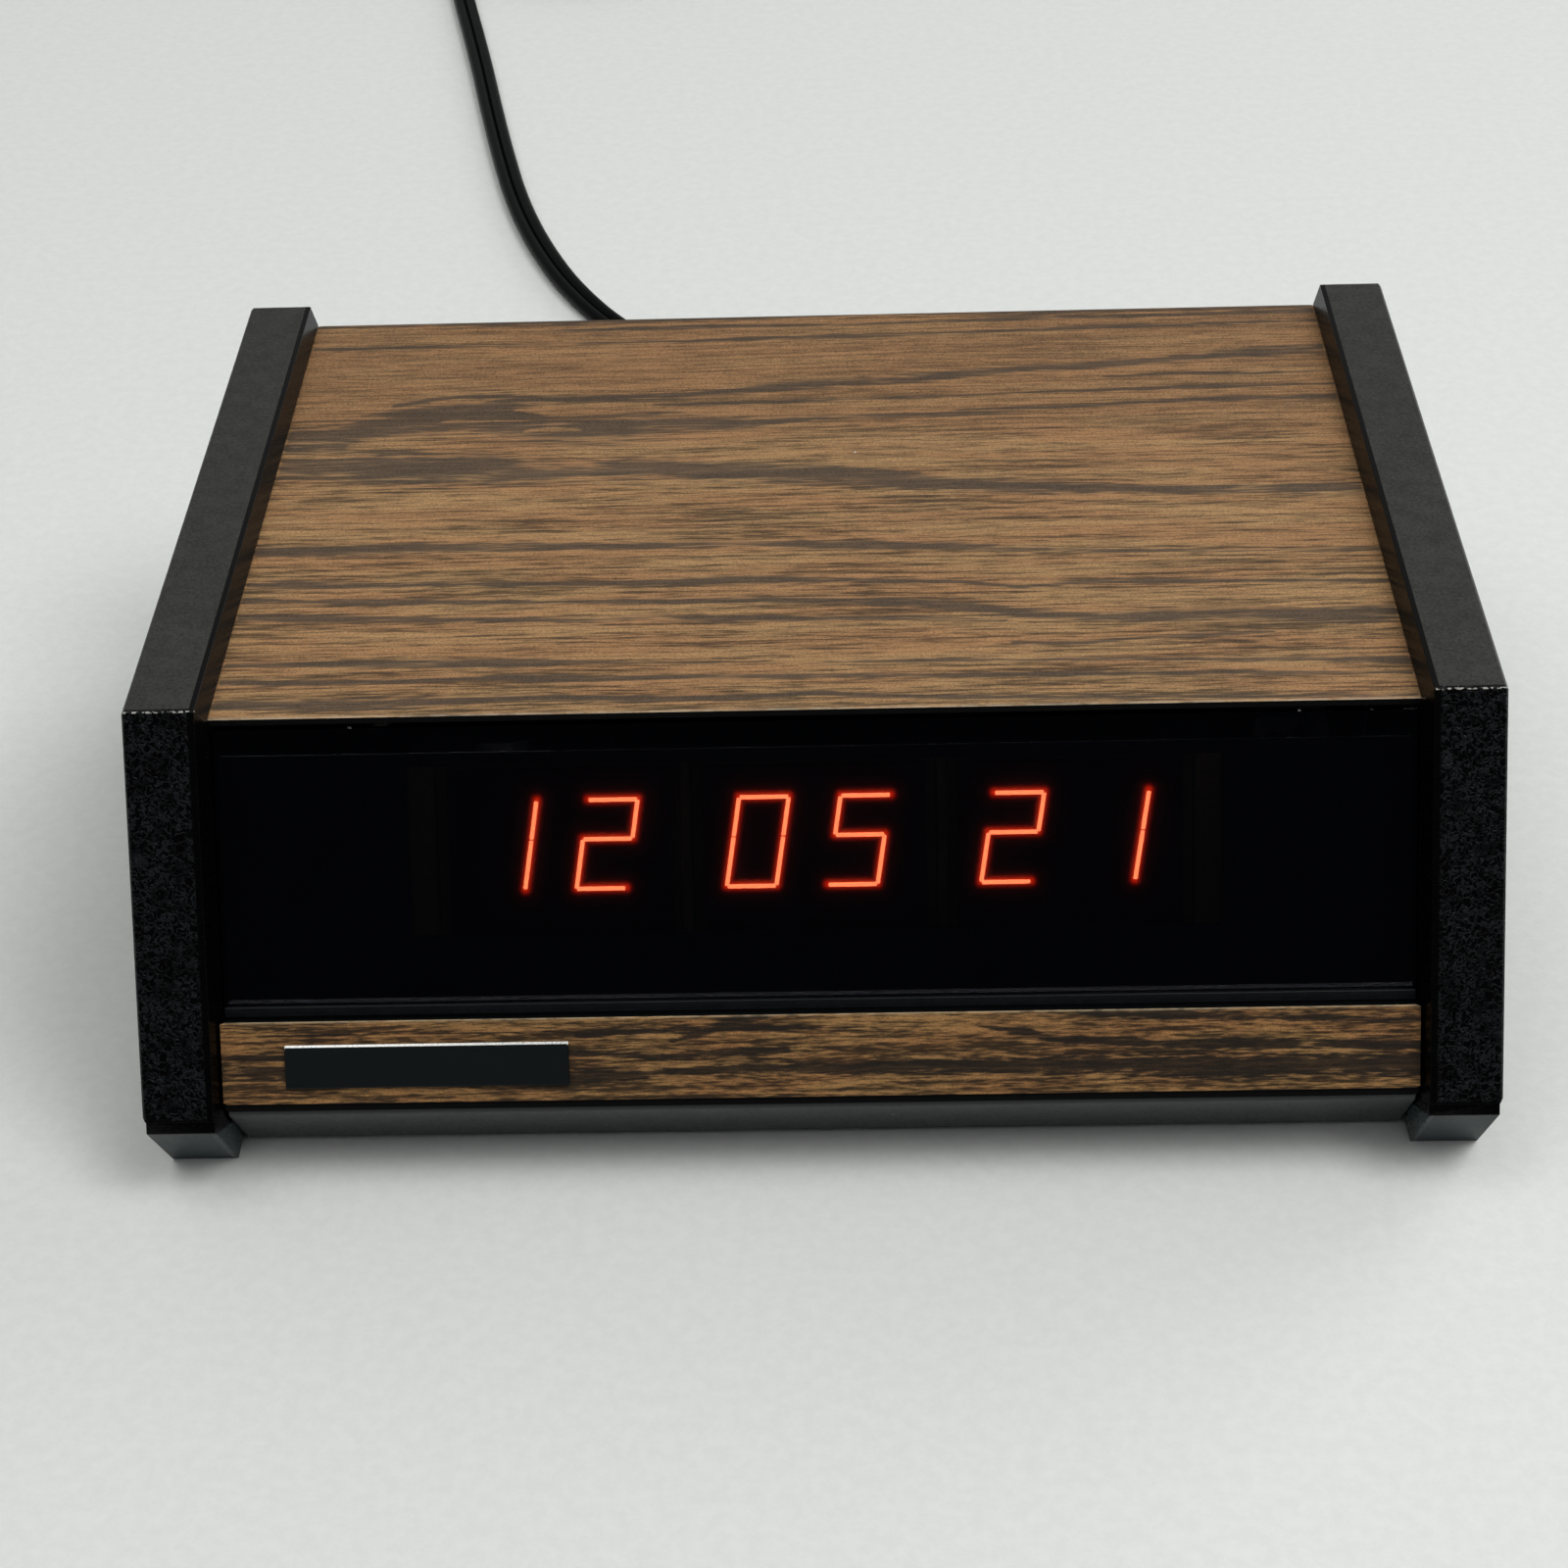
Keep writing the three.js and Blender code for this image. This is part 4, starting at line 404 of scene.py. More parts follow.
class Finish:
    """A material: its Principled shader, Object coordinates, and calls to place the effects."""

    def __init__(self, name, **values):
        self.material = bpy.data.materials.new(name)
        self.material.use_nodes = True
        self.tree = Tree(self.material.node_tree)
        self.shader = self.material.node_tree.nodes["Principled BSDF"]
        self.place = self.tree.add("ShaderNodeTexCoord").outputs["Object"]
        self.set(**values)

    def set(self, **values):
        """Fills the shader's inputs, each named in lower case with underscores."""
        for key, value in values.items():
            title = key.replace("_", " ").title().replace("Ior", "IOR")
            self.tree.put(value, self.shader.inputs[title])
        return self

    def bump(self, height, distance):
        """Relief from a height, its full rise given in metres."""
        node = self.tree.add("ShaderNodeBump", {"Height": height, "Distance": distance, "Strength": 1.0})
        return self.set(normal=node.outputs[0])

    def effect(self, name, **values):
        """An effect at the material's own place, unless its values give another."""
        node = self.tree.add("ShaderNodeGroup", node_tree=EFFECTS[name])
        for key, value in {"Position": self.place, **values}.items():
            self.tree.put(value, node.inputs[key])
        return node.outputs

    def specks(self, scale, share):
        """Specks of dust: how many cells lie in a metre, and the share of them that hold one."""
        return self.effect("dust", Scale=scale, Share=share)["Mask"]

    def slab(self, axis, low, high, soft=0.0003):
        """1 between two places along an axis, in metres."""
        return self.effect("slab", Axis=axis, From=low, To=high, Soft=soft)["Mask"]

    def field(self, name):
        """A value that the mesh carries at each of its points."""
        return self.tree.add("ShaderNodeAttribute", attribute_name=name).outputs["Fac"]


def down_face(down):
    """How far along the way down the face a place lies, given in millimetres from its top edge."""
    return (-FACE_TOP_Y * math.sin(FACE_LEAN) - FACE_TOP_Z * math.cos(FACE_LEAN) + down) * MM


def panel_finish(colours):
    """The end panels: leather relief on the front but not on its border or foot, fine grain elsewhere."""
    finish = Finish("Moulded panel", specular_ior_level=0.1)
    t, base = finish.tree, np.array(colours.panel)
    relief = finish.effect("leather", Scale=1250.0, Width=0.085)
    grain = finish.effect("grain", Scale=2000.0)

    # Where each part of a panel lies
    far, inner_x, border_x, foot_top, painted_reflection_top = 1.0, 0.0856, 0.0857, 57.8, 60.3
    front_depth = (FACE_TOP_Y * math.cos(FACE_LEAN) - FACE_TOP_Z * math.sin(FACE_LEAN)) * MM
    front = finish.slab(INTO_FACE, -far, front_depth + 0.0005)
    border = finish.slab(ACROSS, -border_x, border_x)
    inner = finish.slab(ACROSS, -inner_x, inner_x, 0.0001)
    foot = finish.slab(DOWN_FACE, down_face(foot_top), far)
    painted_reflection = finish.slab(DOWN_FACE, down_face(painted_reflection_top), far, 0.0004)
    # The front's top edge, where glints are painted
    rim = finish.slab(DOWN_FACE, down_face(-0.05), down_face(0.1), 0.00008)
    embossed = t.times(front, t.minus(1.0, t.larger(border, foot)))

    # Tone: grained sides, then painted shade, reflection, highlights and glints, and dust
    tone = t.mix(grain["Shade"], base * 0.66, base * 1.34)
    # Painted shade: the front and the inside, the same plastic as the sides, are made nearly black
    tone = t.mix(t.larger(front, inner), tone, base * 0.02)
    # Painted reflection of the pale table: the foot's lowest band, which faces down, is grey
    tone = t.mix(painted_reflection, tone, srgb(48, 56, 57))
    # Painted highlights: the leather's ridges are made paler where light would catch them
    tone = t.mix(t.times(embossed, t.times(relief["Ridges"], 0.38)), tone, srgb(38, 42, 48))
    # Painted glints: pale sparkles along the front's top edge
    painted_glints = t.smooth(t.noise(finish.place, 1400.0), 0.48, 0.56)
    tone = t.mix(t.times(t.times(rim, front), t.times(painted_glints, 0.75)), tone, srgb(196, 192, 184))
    tone = t.mix(t.times(finish.specks(210.0, 0.03), 0.4), tone, DUST)

    gloss = t.scaled(t.larger(inner, front), -0.16, 0.38)
    height = t.plus(t.times(relief["Height"], t.times(embossed, 2.0)),
                    t.times(grain["Height"], t.scaled(inner, -0.9, 1.0)))
    return finish.set(base_color=tone, roughness=t.scaled(grain["Shade"], 0.08, gloss)).bump(height, 0.00004)


def wood_finish(name, colours, pale_share=1.0, dark_share=1.0, density=0.0, finer=(1.0, 1.0, 1.0)):
    """Wood-grain vinyl: the grain over the piece's own bands, a painted edge highlight and a few specks."""
    finish = Finish("Wood-grain vinyl, " + name, specular_ior_level=0.22)
    t = finish.tree
    shades = {title: np.array(value) * share for title, value, share in (
        ("Light", colours.wood_light, pale_share), ("Middle", colours.wood_mid, pale_share),
        ("Dark", colours.wood_dark, dark_share), ("Band", colours.wood_band, dark_share))}
    # Towards the rear the grain is calmer and the ground is painted darker as shade
    rear = finish.slab(BACKWARDS, 0.045, 1.0, 0.02)
    grain = finish.effect("wood", Position=t.stretch(finish.place, finer), Figure=finish.field("figure"),
                          Calm=rear, Density=density, Roughness=0.45, **shades)
    # Painted highlight: a pale line where the mesh marks the edge, broken up by noise
    edge_shine = t.smooth(t.noise(finish.place, 420.0, 3.0), 0.36, 0.56)
    tone = t.mix(t.times(finish.field("edge"), t.scaled(edge_shine, 0.5, 0.25)), grain["Color"],
                 np.array(srgb(206, 190, 166)) * pale_share)
    tone = t.mix(t.times(finish.specks(150.0, 0.012), 0.5), tone, (0.7, 0.69, 0.66))
    return finish.set(base_color=tone, roughness=grain["Roughness"]).bump(grain["Height"], 0.00002)


def lens_finish(colours):
    """The smoked lens: tinted all through, paler and rougher where a speck lies."""
    finish = Finish("Smoked lens", transmission_weight=1.0, ior=1.49, base_color=colours.lens)
    t, specks = finish.tree, finish.specks(120.0, 0.02)
    return finish.set(base_color=t.mix(t.times(specks, 0.4), colours.lens, (0.9, 0.9, 0.9)),
                      roughness=t.scaled(specks, 0.3, 0.02))


def halo_finish(colours):
    """A tube's back: nearly black, and it gives off light by the glow that its mesh carries."""
    finish = Finish("Tube back, glowing", roughness=0.5, base_color=(0.008, 0.007, 0.007),
                    emission_color=colours.halo)
    return finish.set(emission_color=finish.tree.mix(finish.field("glow"), BLACK, colours.halo),
                      emission_strength=4.2)


def grained(name, tint, roughness, scale=2600.0, depth=0.00003, contrast=0.25, **values):
    """A plain moulded or painted finish: fine grain in its tone, gloss and relief, and a few specks."""
    finish = Finish(name, **values)
    t, tint = finish.tree, np.array(tint)
    grain = finish.effect("grain", Scale=scale)
    tone = t.mix(grain["Shade"], tint * (1 - contrast), np.minimum(tint * (1 + contrast), 1))
    finish.set(base_color=t.mix(t.times(finish.specks(190.0, 0.02), 0.35), tone, DUST),
               roughness=t.scaled(grain["Shade"], 0.12, roughness - 0.06))
    return finish.bump(grain["Height"], depth)


# Plain finishes: title, colour as on a screen (none where the user sets it), roughness and other values
PLAIN_FINISHES = {
    # Raw edges, and the strip's dark tongue, a painted shadow under the strip
    "cut": ("Raw edge, painted shadow", (9, 9, 9), 0.7, {"scale": 1800.0, "specular_ior_level": 0.05}),
    "sheet": ("Painted sheet", None, 0.36, {"scale": 1500.0, "depth": 0.00001, "contrast": 0.12,
                                            "specular_ior_level": 0.32}),
    "plastic": ("Black plastic", (22, 24, 25), 0.34, {"scale": 2200.0}),
    "shield": ("Matt black card", (11, 11, 12), 0.8, {"scale": 1800.0}),
    "sill": ("Lens sill", (9, 11, 14), 0.4, {"scale": 2200.0, "contrast": 0.2, "specular_ior_level": 0.2}),
    "button": ("Button plastic", (24, 24, 25), 0.3, {}),
    "plate": ("Bare dark plate", (15, 19, 21), 0.5, {"depth": 0.000002, "contrast": 0.05,
                                                     "specular_ior_level": 0.1}),
    # Bare metal, painted bright only along the nameplate's top as a highlight
    "highlight_edge": ("Bare aluminium, painted highlight", (238, 238, 234), 0.3, {"depth": 0.00001, "contrast": 0.1,
                                                             "metallic": 0.35}),
    "plated": ("Zinc plate", (176, 176, 170), 0.32, {"scale": 900.0, "depth": 0.00001, "contrast": 0.12,
                                                     "metallic": 1.0}),
    "board": ("Circuit board", (136, 118, 70), 0.5, {"scale": 1200.0, "depth": 0.00002, "contrast": 0.15}),
    "can": ("Sleeved can", (30, 56, 100), 0.35, {"scale": 1500.0}),
    "core": ("Varnished iron", (70, 66, 60), 0.45, {"scale": 1800.0, "metallic": 0.6}),
    "winding": ("Enamelled copper", (150, 78, 32), 0.35, {"scale": 900.0, "metallic": 0.7}),
    "cone": ("Pressed paper", (44, 40, 36), 0.85, {"scale": 1500.0, "depth": 0.00006}),
    "lead": ("Lead sheath", None, 0.36, {"scale": 1400.0, "depth": 0.00001, "contrast": 0.15,
                                         "specular_ior_level": 0.06}),
    "brass": ("Brass blade", (196, 164, 96), 0.25, {"scale": 1100.0, "depth": 0.00001, "contrast": 0.1,
                                                    "metallic": 1.0}),
}

FINISHES = {}


def make_finishes(colours):
    """Every finish of the clock, from the colours that the user set."""
    FINISHES["panel"] = panel_finish(colours)
    FINISHES["cover"] = wood_finish("cover", colours)
    # The strip is the cover's vinyl; its darker ground and flecks are painted shade, as its front gets less
    # light
    FINISHES["strip"] = wood_finish("strip", colours, pale_share=(0.89, 0.82, 0.67), dark_share=0.16,
                                    density=0.12, finer=(1.9, 1.1, 1.1))
    FINISHES["lens"] = lens_finish(colours)
    FINISHES["glass"] = Finish("Clear glass", transmission_weight=1.0, ior=1.5, roughness=0.01,
                               base_color=(0.92, 0.95, 0.93))
    FINISHES["lit"] = Finish("Lit segment", base_color=(0.02, 0.01, 0.0), roughness=0.6,
                             emission_color=colours.glow, emission_strength=7.4)
    FINISHES["halo"] = halo_finish(colours)
    for key, (title, tint, roughness, values) in PLAIN_FINISHES.items():
        FINISHES[key] = grained(title, srgb(*tint) if tint else getattr(colours, key), roughness, **values)


# Surfaces


def in_mm(metres):
    """Places given in metres, such as a box's two corners, in millimetres."""
    return np.array(metres) / MM


def full_turn(count):
    """Angles once round, the last a step short of the first."""
    return np.linspace(0, 2 * math.pi, count, endpoint=False)


def quarter_turn(count):
    """Angles from 0 to a right angle."""
    return np.linspace(0, math.pi / 2, count)


def quads(rows, columns, wrap=True):
    """Faces between neighbours of a grid of points, numbered row by row; wrapping closes each row."""
    row = np.arange(rows - 1)[:, None]
    column = np.arange(columns if wrap else columns - 1)[None, :]
    after = (column + 1) % columns
    return np.stack([row * columns + column, row * columns + after, (row + 1) * columns + after,
                     (row + 1) * columns + column], -1).reshape(-1, 4)


def tube_faces(rows, columns):
    """The faces of a closed tube: its wrapped grid and a flat face at each end."""
    faces = quads(rows, columns).tolist()
    faces.append(list(range(columns))[::-1])
    faces.append(list(range((rows - 1) * columns, rows * columns)))
    return faces


def set_down(name, mesh, sharp):
    """An object of a mesh that is shaded smooth, but for edges sharper than an angle in degrees."""
    mesh.polygons.foreach_set("use_smooth", np.ones(len(mesh.polygons), dtype=bool))
    mesh.set_sharp_from_angle(angle=math.radians(sharp))
    made = bpy.data.objects.new(name, mesh)
    bpy.context.scene.collection.objects.link(made)
    return made


def piece(name, points, faces, finish, body="case", stands_for=(), slot=None, sharp=35.0, fields=None,
          chosen=None):
    """Puts points in millimetres into a mesh that faces outwards, on its body and in place of what it stands
    for.
    """
    mesh = bpy.data.meshes.new(name)
    mesh.from_pydata((np.asarray(points).reshape(-1, 3) * MM).tolist(), [], faces)
    for title, values in (fields or {}).items():
        mesh.attributes.new(title, "FLOAT", "POINT").data.foreach_set("value", np.ravel(values))
    for each in finish if isinstance(finish, list) else [finish]:
        mesh.materials.append(FINISHES[each].material)
    if chosen is not None:
        mesh.polygons.foreach_set("material_index", np.asarray(chosen, dtype=np.int32))
    outwards = bmesh.new()
    outwards.from_mesh(mesh)
    bmesh.ops.recalc_face_normals(outwards, faces=outwards.faces)
    outwards.to_mesh(mesh)
    outwards.free()
    made = set_down(name, mesh, sharp)
    if body:
        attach(made, body)
    if stands_for:
        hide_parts(*stands_for)
    return made


def dressed(node, finish, edge, segments=2):
    """A merged copy of a node's own mesh, its flat areas joined and its edges rounded."""
    sharp = 30.0
    shape = bmesh.new()
    shape.from_mesh(frame["nodes"][node].data)
    bmesh.ops.remove_doubles(shape, verts=shape.verts, dist=1e-6)
    bmesh.ops.dissolve_limit(shape, angle_limit=math.radians(0.5), verts=shape.verts, edges=shape.edges)
    mesh = bpy.data.meshes.new(node + "_finished")
    shape.to_mesh(mesh)
    shape.free()
    mesh.materials.clear()
    mesh.materials.append(FINISHES[finish].material)
    made = set_down(node + "_finished", mesh, sharp)
    round_edges = made.modifiers.new("Rounded edges", "BEVEL")
    round_edges.width = edge
    round_edges.segments = segments
    round_edges.limit_method = "ANGLE"
    round_edges.angle_limit = math.radians(sharp)
    round_edges.harden_normals = True
    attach(made, body_of(node))
    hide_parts(node)


def body_of(node):
    """The name of the body that holds a node."""
    bodies = frame["record"]["behaviour"]["bodies"]
    return next(name for name, nodes in bodies.items() if node in nodes)


def painted(finish, *nodes):
    """Gives nodes whose shape is right their finish."""
    for node in nodes:
        for each in frame["nodes"][node].material_slots:
            each.material = FINISHES[finish].material


def joined(*parts):
    """Several (points, faces) as one: later faces are counted on from the earlier points."""
    points, faces, start = [], [], 0
    for some, those in parts:
        some = np.asarray(some, dtype=float).reshape(-1, 3)
        points.append(some)
        faces += [[corner + start for corner in face] for face in those]
        start += len(some)
    return np.concatenate(points), faces


def on_face(x, recess, down):
    """A point of the leaning front, from its recess and how far down the face it lies."""
    x, recess, down = np.broadcast_arrays(*(np.asarray(value, dtype=float) for value in (x, recess, down)))
    return np.stack([x, FACE_TOP_Y + recess * math.cos(FACE_LEAN) - down * math.sin(FACE_LEAN),
                     FACE_TOP_Z - recess * math.sin(FACE_LEAN) - down * math.cos(FACE_LEAN)], -1)


def rounded_loop(half_a, half_b, radius, steps=5):
    """A rounded rectangle: a quarter circle about the middle of each corner."""
    turn = np.arange(4)[:, None] * math.pi / 2 + quarter_turn(steps)[None, :]
    sign_a = np.array([1, -1, -1, 1])[:, None]
    sign_b = np.array([1, 1, -1, -1])[:, None]
    return np.stack([sign_a * (half_a - radius) + radius * np.cos(turn),
                     sign_b * (half_b - radius) + radius * np.sin(turn)], -1).reshape(-1, 2)


def face_rings(middle_x, half_x, top, bottom, radius, insets):
    """Rounded rectangles on the face, one for each inset across, inset up and down, and recess."""
    rings = []
    for inset_x, inset_down, recess in insets:
        loop = rounded_loop(half_x - inset_x, (bottom - top) / 2 - inset_down, radius, 4)
        rings.append(on_face(middle_x + loop[:, 0], recess, (top + bottom) / 2 - loop[:, 1]))
    return np.array(rings)


def revolved(profile, centre):
    """A profile of (radius, y) turned about a line along Y: radius times cosine and sine beside it."""
    profile = np.asarray(profile, dtype=float)
    angle = full_turn(40)
    radius, along = profile[:, 0, None], profile[:, 1, None] + 0 * angle
    points = np.stack([radius * np.cos(angle), along, radius * np.sin(angle)], -1) + np.asarray(centre)
    return points, tube_faces(len(profile), len(angle))


def band_field(bands, along, across):
    """1 inside a dark band and 0 beyond it: 1.15 less 0.62 times the distance over the half thickness."""
    field = np.zeros(np.broadcast(along, across).shape)
    for band in bands:
        xs, middles, halves = np.array(band, dtype=float).T
        middle = np.interp(along, xs, middles)
        half = np.interp(along, xs, halves, left=0.01, right=0.01)
        field = np.maximum(field, np.clip(1.15 - 0.62 * np.abs(across - middle) / half, 0, 1))
    return field


def cut_faces(cut, rows):
    """Faces of a closed tube in the dark finish, raw edges and painted shadow: beside a column of cut
    points.
    """
    columns = (cut | np.roll(cut, -1)).astype(int)
    return np.concatenate([np.tile(columns, rows - 1), [1, 1]])


def smooth_route(points, steps):
    """A centripetal Catmull-Rom curve: between points, a cubic whose end slopes follow the chords."""
    points = np.asarray(points, dtype=float)
    points = np.vstack([2 * points[0] - points[1], points, 2 * points[-1] - points[-2]])
    before, start, end, after = points[:-3], points[1:-2], points[2:-1], points[3:]
    roots = np.sqrt(np.linalg.norm(np.diff(points, axis=0), axis=1))[:, None]
    earlier, own, later = roots[:-2], roots[1:-1], roots[2:]
    leaving = ((start - before) / earlier - (end - before) / (earlier + own) + (end - start) / own) * own
    arriving = ((end - start) / own - (after - start) / (own + later) + (after - end) / later) * own
    share = np.linspace(0, 1, steps, endpoint=False)[None, :, None]
    curve = ((2 * share**3 - 3 * share**2 + 1) * start[:, None]
             + (share**3 - 2 * share**2 + share) * leaving[:, None]
             + (3 * share**2 - 2 * share**3) * end[:, None] + (share**3 - share**2) * arriving[:, None])
    return np.vstack([curve.reshape(-1, 3), end[-1]])


def swept(path, outline):
    """A flat outline carried along a path and kept level: its first axis lies level across the way."""
    way = np.gradient(path, axis=0)
    way /= np.linalg.norm(way, axis=1)[:, None]
    level = np.stack([way[:, 1], -way[:, 0], 0 * way[:, 0]], -1)
    level /= np.linalg.norm(level, axis=1)[:, None]
    up = np.cross(level, way)
    return (path[:, None] + outline[None, :, 0, None] * level[:, None]
            + outline[None, :, 1, None] * up[:, None])


def aimed(name, data, right, up, back, place):
    """An object whose own axes point to the right, up and back, at a place in metres."""
    placed = np.eye(4)
    placed[:3] = np.stack([right, up, back, place], 1)
    made = bpy.data.objects.new(name, data)
    made.matrix_world = Matrix(placed.tolist())
    bpy.context.scene.collection.objects.link(made)
    return made


# Operators


class CLOCK_OT_finishes(bpy.types.Operator):
    """Make the node groups and the materials"""

    bl_idname = "clock.finishes"
    bl_label = "Finishes"

    def execute(self, context):
        make_effects()
        make_finishes(context.scene.clock_colours)
        return {"FINISHED"}


class CLOCK_OT_stage(bpy.types.Operator):
    """Make the camera, the table, the lamps and the world"""

    bl_idname = "clock.stage"
    bl_label = "Stage"

    def execute(self, context):
        scene = context.scene
        scene.view_settings.view_transform = "Standard"
        self.camera(scene)
        self.table(np.array(scene.clock_colours.floor))
        self.lamps()
        self.world(scene)
        return {"FINISHED"}

    def camera(self, scene):
        """The camera, solved from the case's straight edges and corners."""
        data = bpy.data.cameras.new("Camera")
        data.sensor_width = 36
        data.lens = 69.03
        data.clip_start = 0.01
        data.clip_end = 50
        right, down, ahead = np.array([[0.999495, 0.010674, -0.029928], [-0.01757, -0.599134, -0.800456],
                                       [-0.026475, 0.800577, -0.598644]])
        place = np.array([7.06, -380.97, 303.51]) * MM
        scene.camera = aimed("Camera", data, right, -down, -ahead, place)

    def table(self, base):
        """A pale mottled table with a few marks: a flat grid."""
        finish = Finish("Table", roughness=0.65, specular_ior_level=0.25)
        t = finish.tree
        mottle = t.smooth(t.noise(finish.place, 420.0, 4.0, 0.7), 0.3, 0.7)
        marks = t.times(finish.specks(42.0, 0.05), 0.5)
        paint = t.mix(marks, t.mix(mottle, base * 0.95, base), (0.2, 0.19, 0.18))
        # Beyond the lamps' reach the table gives off what they no longer give it, so that it stays pale
        away = t.add("ShaderNodeVectorMath", {0: finish.place}, operation="LENGTH").outputs["Value"]
        lifted = t.mix(t.smooth(away, 1.0, 3.6), BLACK, base * 0.6)
        FINISHES["table"] = finish.set(base_color=paint, emission_color=lifted, emission_strength=1.0)
        finish.bump(mottle, 0.00002)
        side = np.linspace(-9000, 9000, 5)
        across, deep = np.meshgrid(side, side)
        points = np.stack([across, deep, 0 * across], -1)
        floor = piece("table", points, quads(len(side), len(side), wrap=False).tolist(), "table", body=None)

    def lamps(self):
        """Square lamps that face the clock."""
        for title, place, size, power in (
                ("Window, right of the front", (1.17, -0.69, 2.17), 1.2, 30.0),
                ("Ceiling, left", (-0.80, -0.25, 2.22), 1.2, 10.5),
                ("Room, front", (0.0, -1.38, 1.96), 1.5, 8.8),
                ("Wall, right of the back", (1.92, 1.60, 1.01), 1.5, 24.0)):
            data = bpy.data.lights.new(title, "AREA")
            data.size = size
            data.energy = power
            away = np.array(place) / np.linalg.norm(place)
            level = np.cross((0, 0, 1), away)
            level /= np.linalg.norm(level)
            aimed(title, data, level, np.cross(away, level), away, place)

    def world(self, scene):
        """The room: dark in front and low down, pale behind and overhead, and paler to the camera."""
        world = bpy.data.worlds.new("Room")
        world.use_nodes = True
        scene.world = world
        t = Tree(world.node_tree)
        direction = t.add("ShaderNodeTexCoord").outputs["Generated"]
        parts = t.add("ShaderNodeSeparateXYZ", {0: direction}).outputs
        lit = t.larger(t.smooth(parts[1], -0.35, 0.5), t.smooth(parts[2], 0.5, 0.85))
        shade = t.mix(lit, (0.012, 0.014, 0.02), (0.32, 0.328, 0.322))
        seen = t.add("ShaderNodeLightPath").outputs["Is Camera Ray"]
        t.put(t.mix(seen, shade, (0.67, 0.69, 0.66)), world.node_tree.nodes["Background"].inputs["Color"])


class CLOCK_OT_lead(bpy.types.Operator):
    """Lay the flat lead over the table and wind it into its coil, with its tie, plug and boot"""

    bl_idname = "clock.lead"
    bl_label = "Supply lead"

    def execute(self, context):
        sizes = context.scene.clock_sizes
        path, outline = self.path(sizes.coil_steps), self.outline(sizes)
        lead = piece("lead", swept(path, outline), tube_faces(len(path), len(outline)), "lead",
                     stands_for=("supply_lead", "lead_coil"), slot="lead_sheath", sharp=50)
        boot = self.boot()
        plug = self.plug()
        tie = self.tie()
        painted("brass", "plug_blade_near", "plug_blade_far")
        return {"FINISHED"}

    def outline(self, sizes):
        """Two round cores side by side: an arc on each side, from valley to valley."""
        radius = sizes.core_radius / MM
        spread = sizes.lead_width / MM / 2 - radius
        valley = math.acos(spread / radius)
        turn = np.linspace(valley - math.pi, math.pi - valley, 15)
        lobe = np.stack([spread + radius * np.cos(turn), radius * np.sin(turn)], -1)
        return np.vstack([lobe[1:], -lobe[1:]])

    def path(self, steps):
        """The free way, a spiral that winds in and, a layer higher, out again, and a straight tail."""
        outer, climbing, overlap = COIL_INNER + COIL_PITCH * COIL_TURNS / 2, 0.5, 0.6
        turns = np.linspace(0, COIL_TURNS, int(COIL_TURNS * steps) + 1)
        reach = outer - COIL_PITCH * np.minimum(turns, COIL_TURNS - turns)
        climb = np.clip((turns - COIL_TURNS / 2) / climbing + 0.5, 0, 1)
        climb = climb * climb * (3 - 2 * climb)
        angle = math.pi - 2 * math.pi * turns
        winding = np.stack([COIL_CENTRE[0] + reach * np.cos(angle), COIL_CENTRE[1] + reach * np.sin(angle),
                            COIL_Z + COIL_LAYER * climb], -1)
        into_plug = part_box("plug_body")[0][0] / MM + overlap
        tail_along = np.linspace(0, into_plug - winding[-1, 0], 16)[1:, None]
        return np.vstack([smooth_route(LEAD_ROUTE, 8), winding, winding[-1] + tail_along * [1.0, 0, 0]])

    def boot(self):
        """Rings about the lead: neck, flange, and a sleeve that falls evenly, grooved between its ribs."""
        low, high = in_mm(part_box("strain_relief"))
        middle_x, middle_z = LEAD_ROUTE[0][0], LEAD_ROUTE[0][2]
        reach, flange, ribs, root, groove = 27.0, 2.4, 5, 5.7, 0.7
        face = high[1] - reach
        neck = [low[1], face - 0.05, face, face + 0.4, face + 2.0, face + flange, face + flange]
        neck_radii = [4.2, 4.2, 5.3, 6.0, 6.0, 5.5, 4.9]
        share = np.linspace(0, 1, 101)[1:]
        phase = share * ribs % 1
        rib = 1 / (1 + np.exp(-(phase - 0.35) * 40)) - 1 / (1 + np.exp(-(phase - 0.97) * 60))
        along = np.concatenate([neck, face + flange + share * (reach - flange)])[:, None]
        wide, tall = (np.concatenate([neck_radii, root + (tip - root) * share - groove * (1 - rib)])[:, None]
                      for tip in (3.6, 2.3))
        angle = full_turn(40)
        rings = np.stack([middle_x + wide * np.cos(angle), along + 0 * angle,
                          middle_z + tall * np.sin(angle)], -1)
        return piece("lead_boot", rings, tube_faces(len(along), len(angle)), "lead",
                     stands_for=("strain_relief",), slot="lead_sheath")

    def tie(self):
        """A flat band: a rounded rectangle round the turns, carried across the band's width."""
        low, high = in_mm(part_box("coil_tie"))
        bottom, top, thick, half_width, past_end = 0.35, COIL_Z + COIL_LAYER + 2.05, 0.6, 2.3, 2.6
        reach = np.linalg.norm((low + high)[:2] / 2 - COIL_CENTRE)
        half, tall = np.linalg.norm((high - low)[:2]) / 2 - past_end, (top - bottom) / 2
        outside = rounded_loop(half, tall, 1.4)
        inside = rounded_loop(half - thick, tall - thick, 0.9)
        way = np.array([math.cos(TIE_ANGLE), math.sin(TIE_ANGLE)])
        side = np.array([-way[1], way[0]])
        rings = []
        for loop, offset in ((outside, -half_width), (outside, half_width),
                             (inside, half_width), (inside, -half_width)):
            flat = COIL_CENTRE + way * reach + loop[:, :1] * way + offset * side
            rings.append(np.column_stack([flat, loop[:, 1] + (top + bottom) / 2]))
        # The grid's last row of faces comes back to its first ring
        faces = quads(len(rings) + 1, len(outside)) % (len(rings) * len(outside))
        return piece("lead_tie", np.array(rings), faces.tolist(), "plastic", stands_for=("coil_tie",),
                     slot="black_plastic")

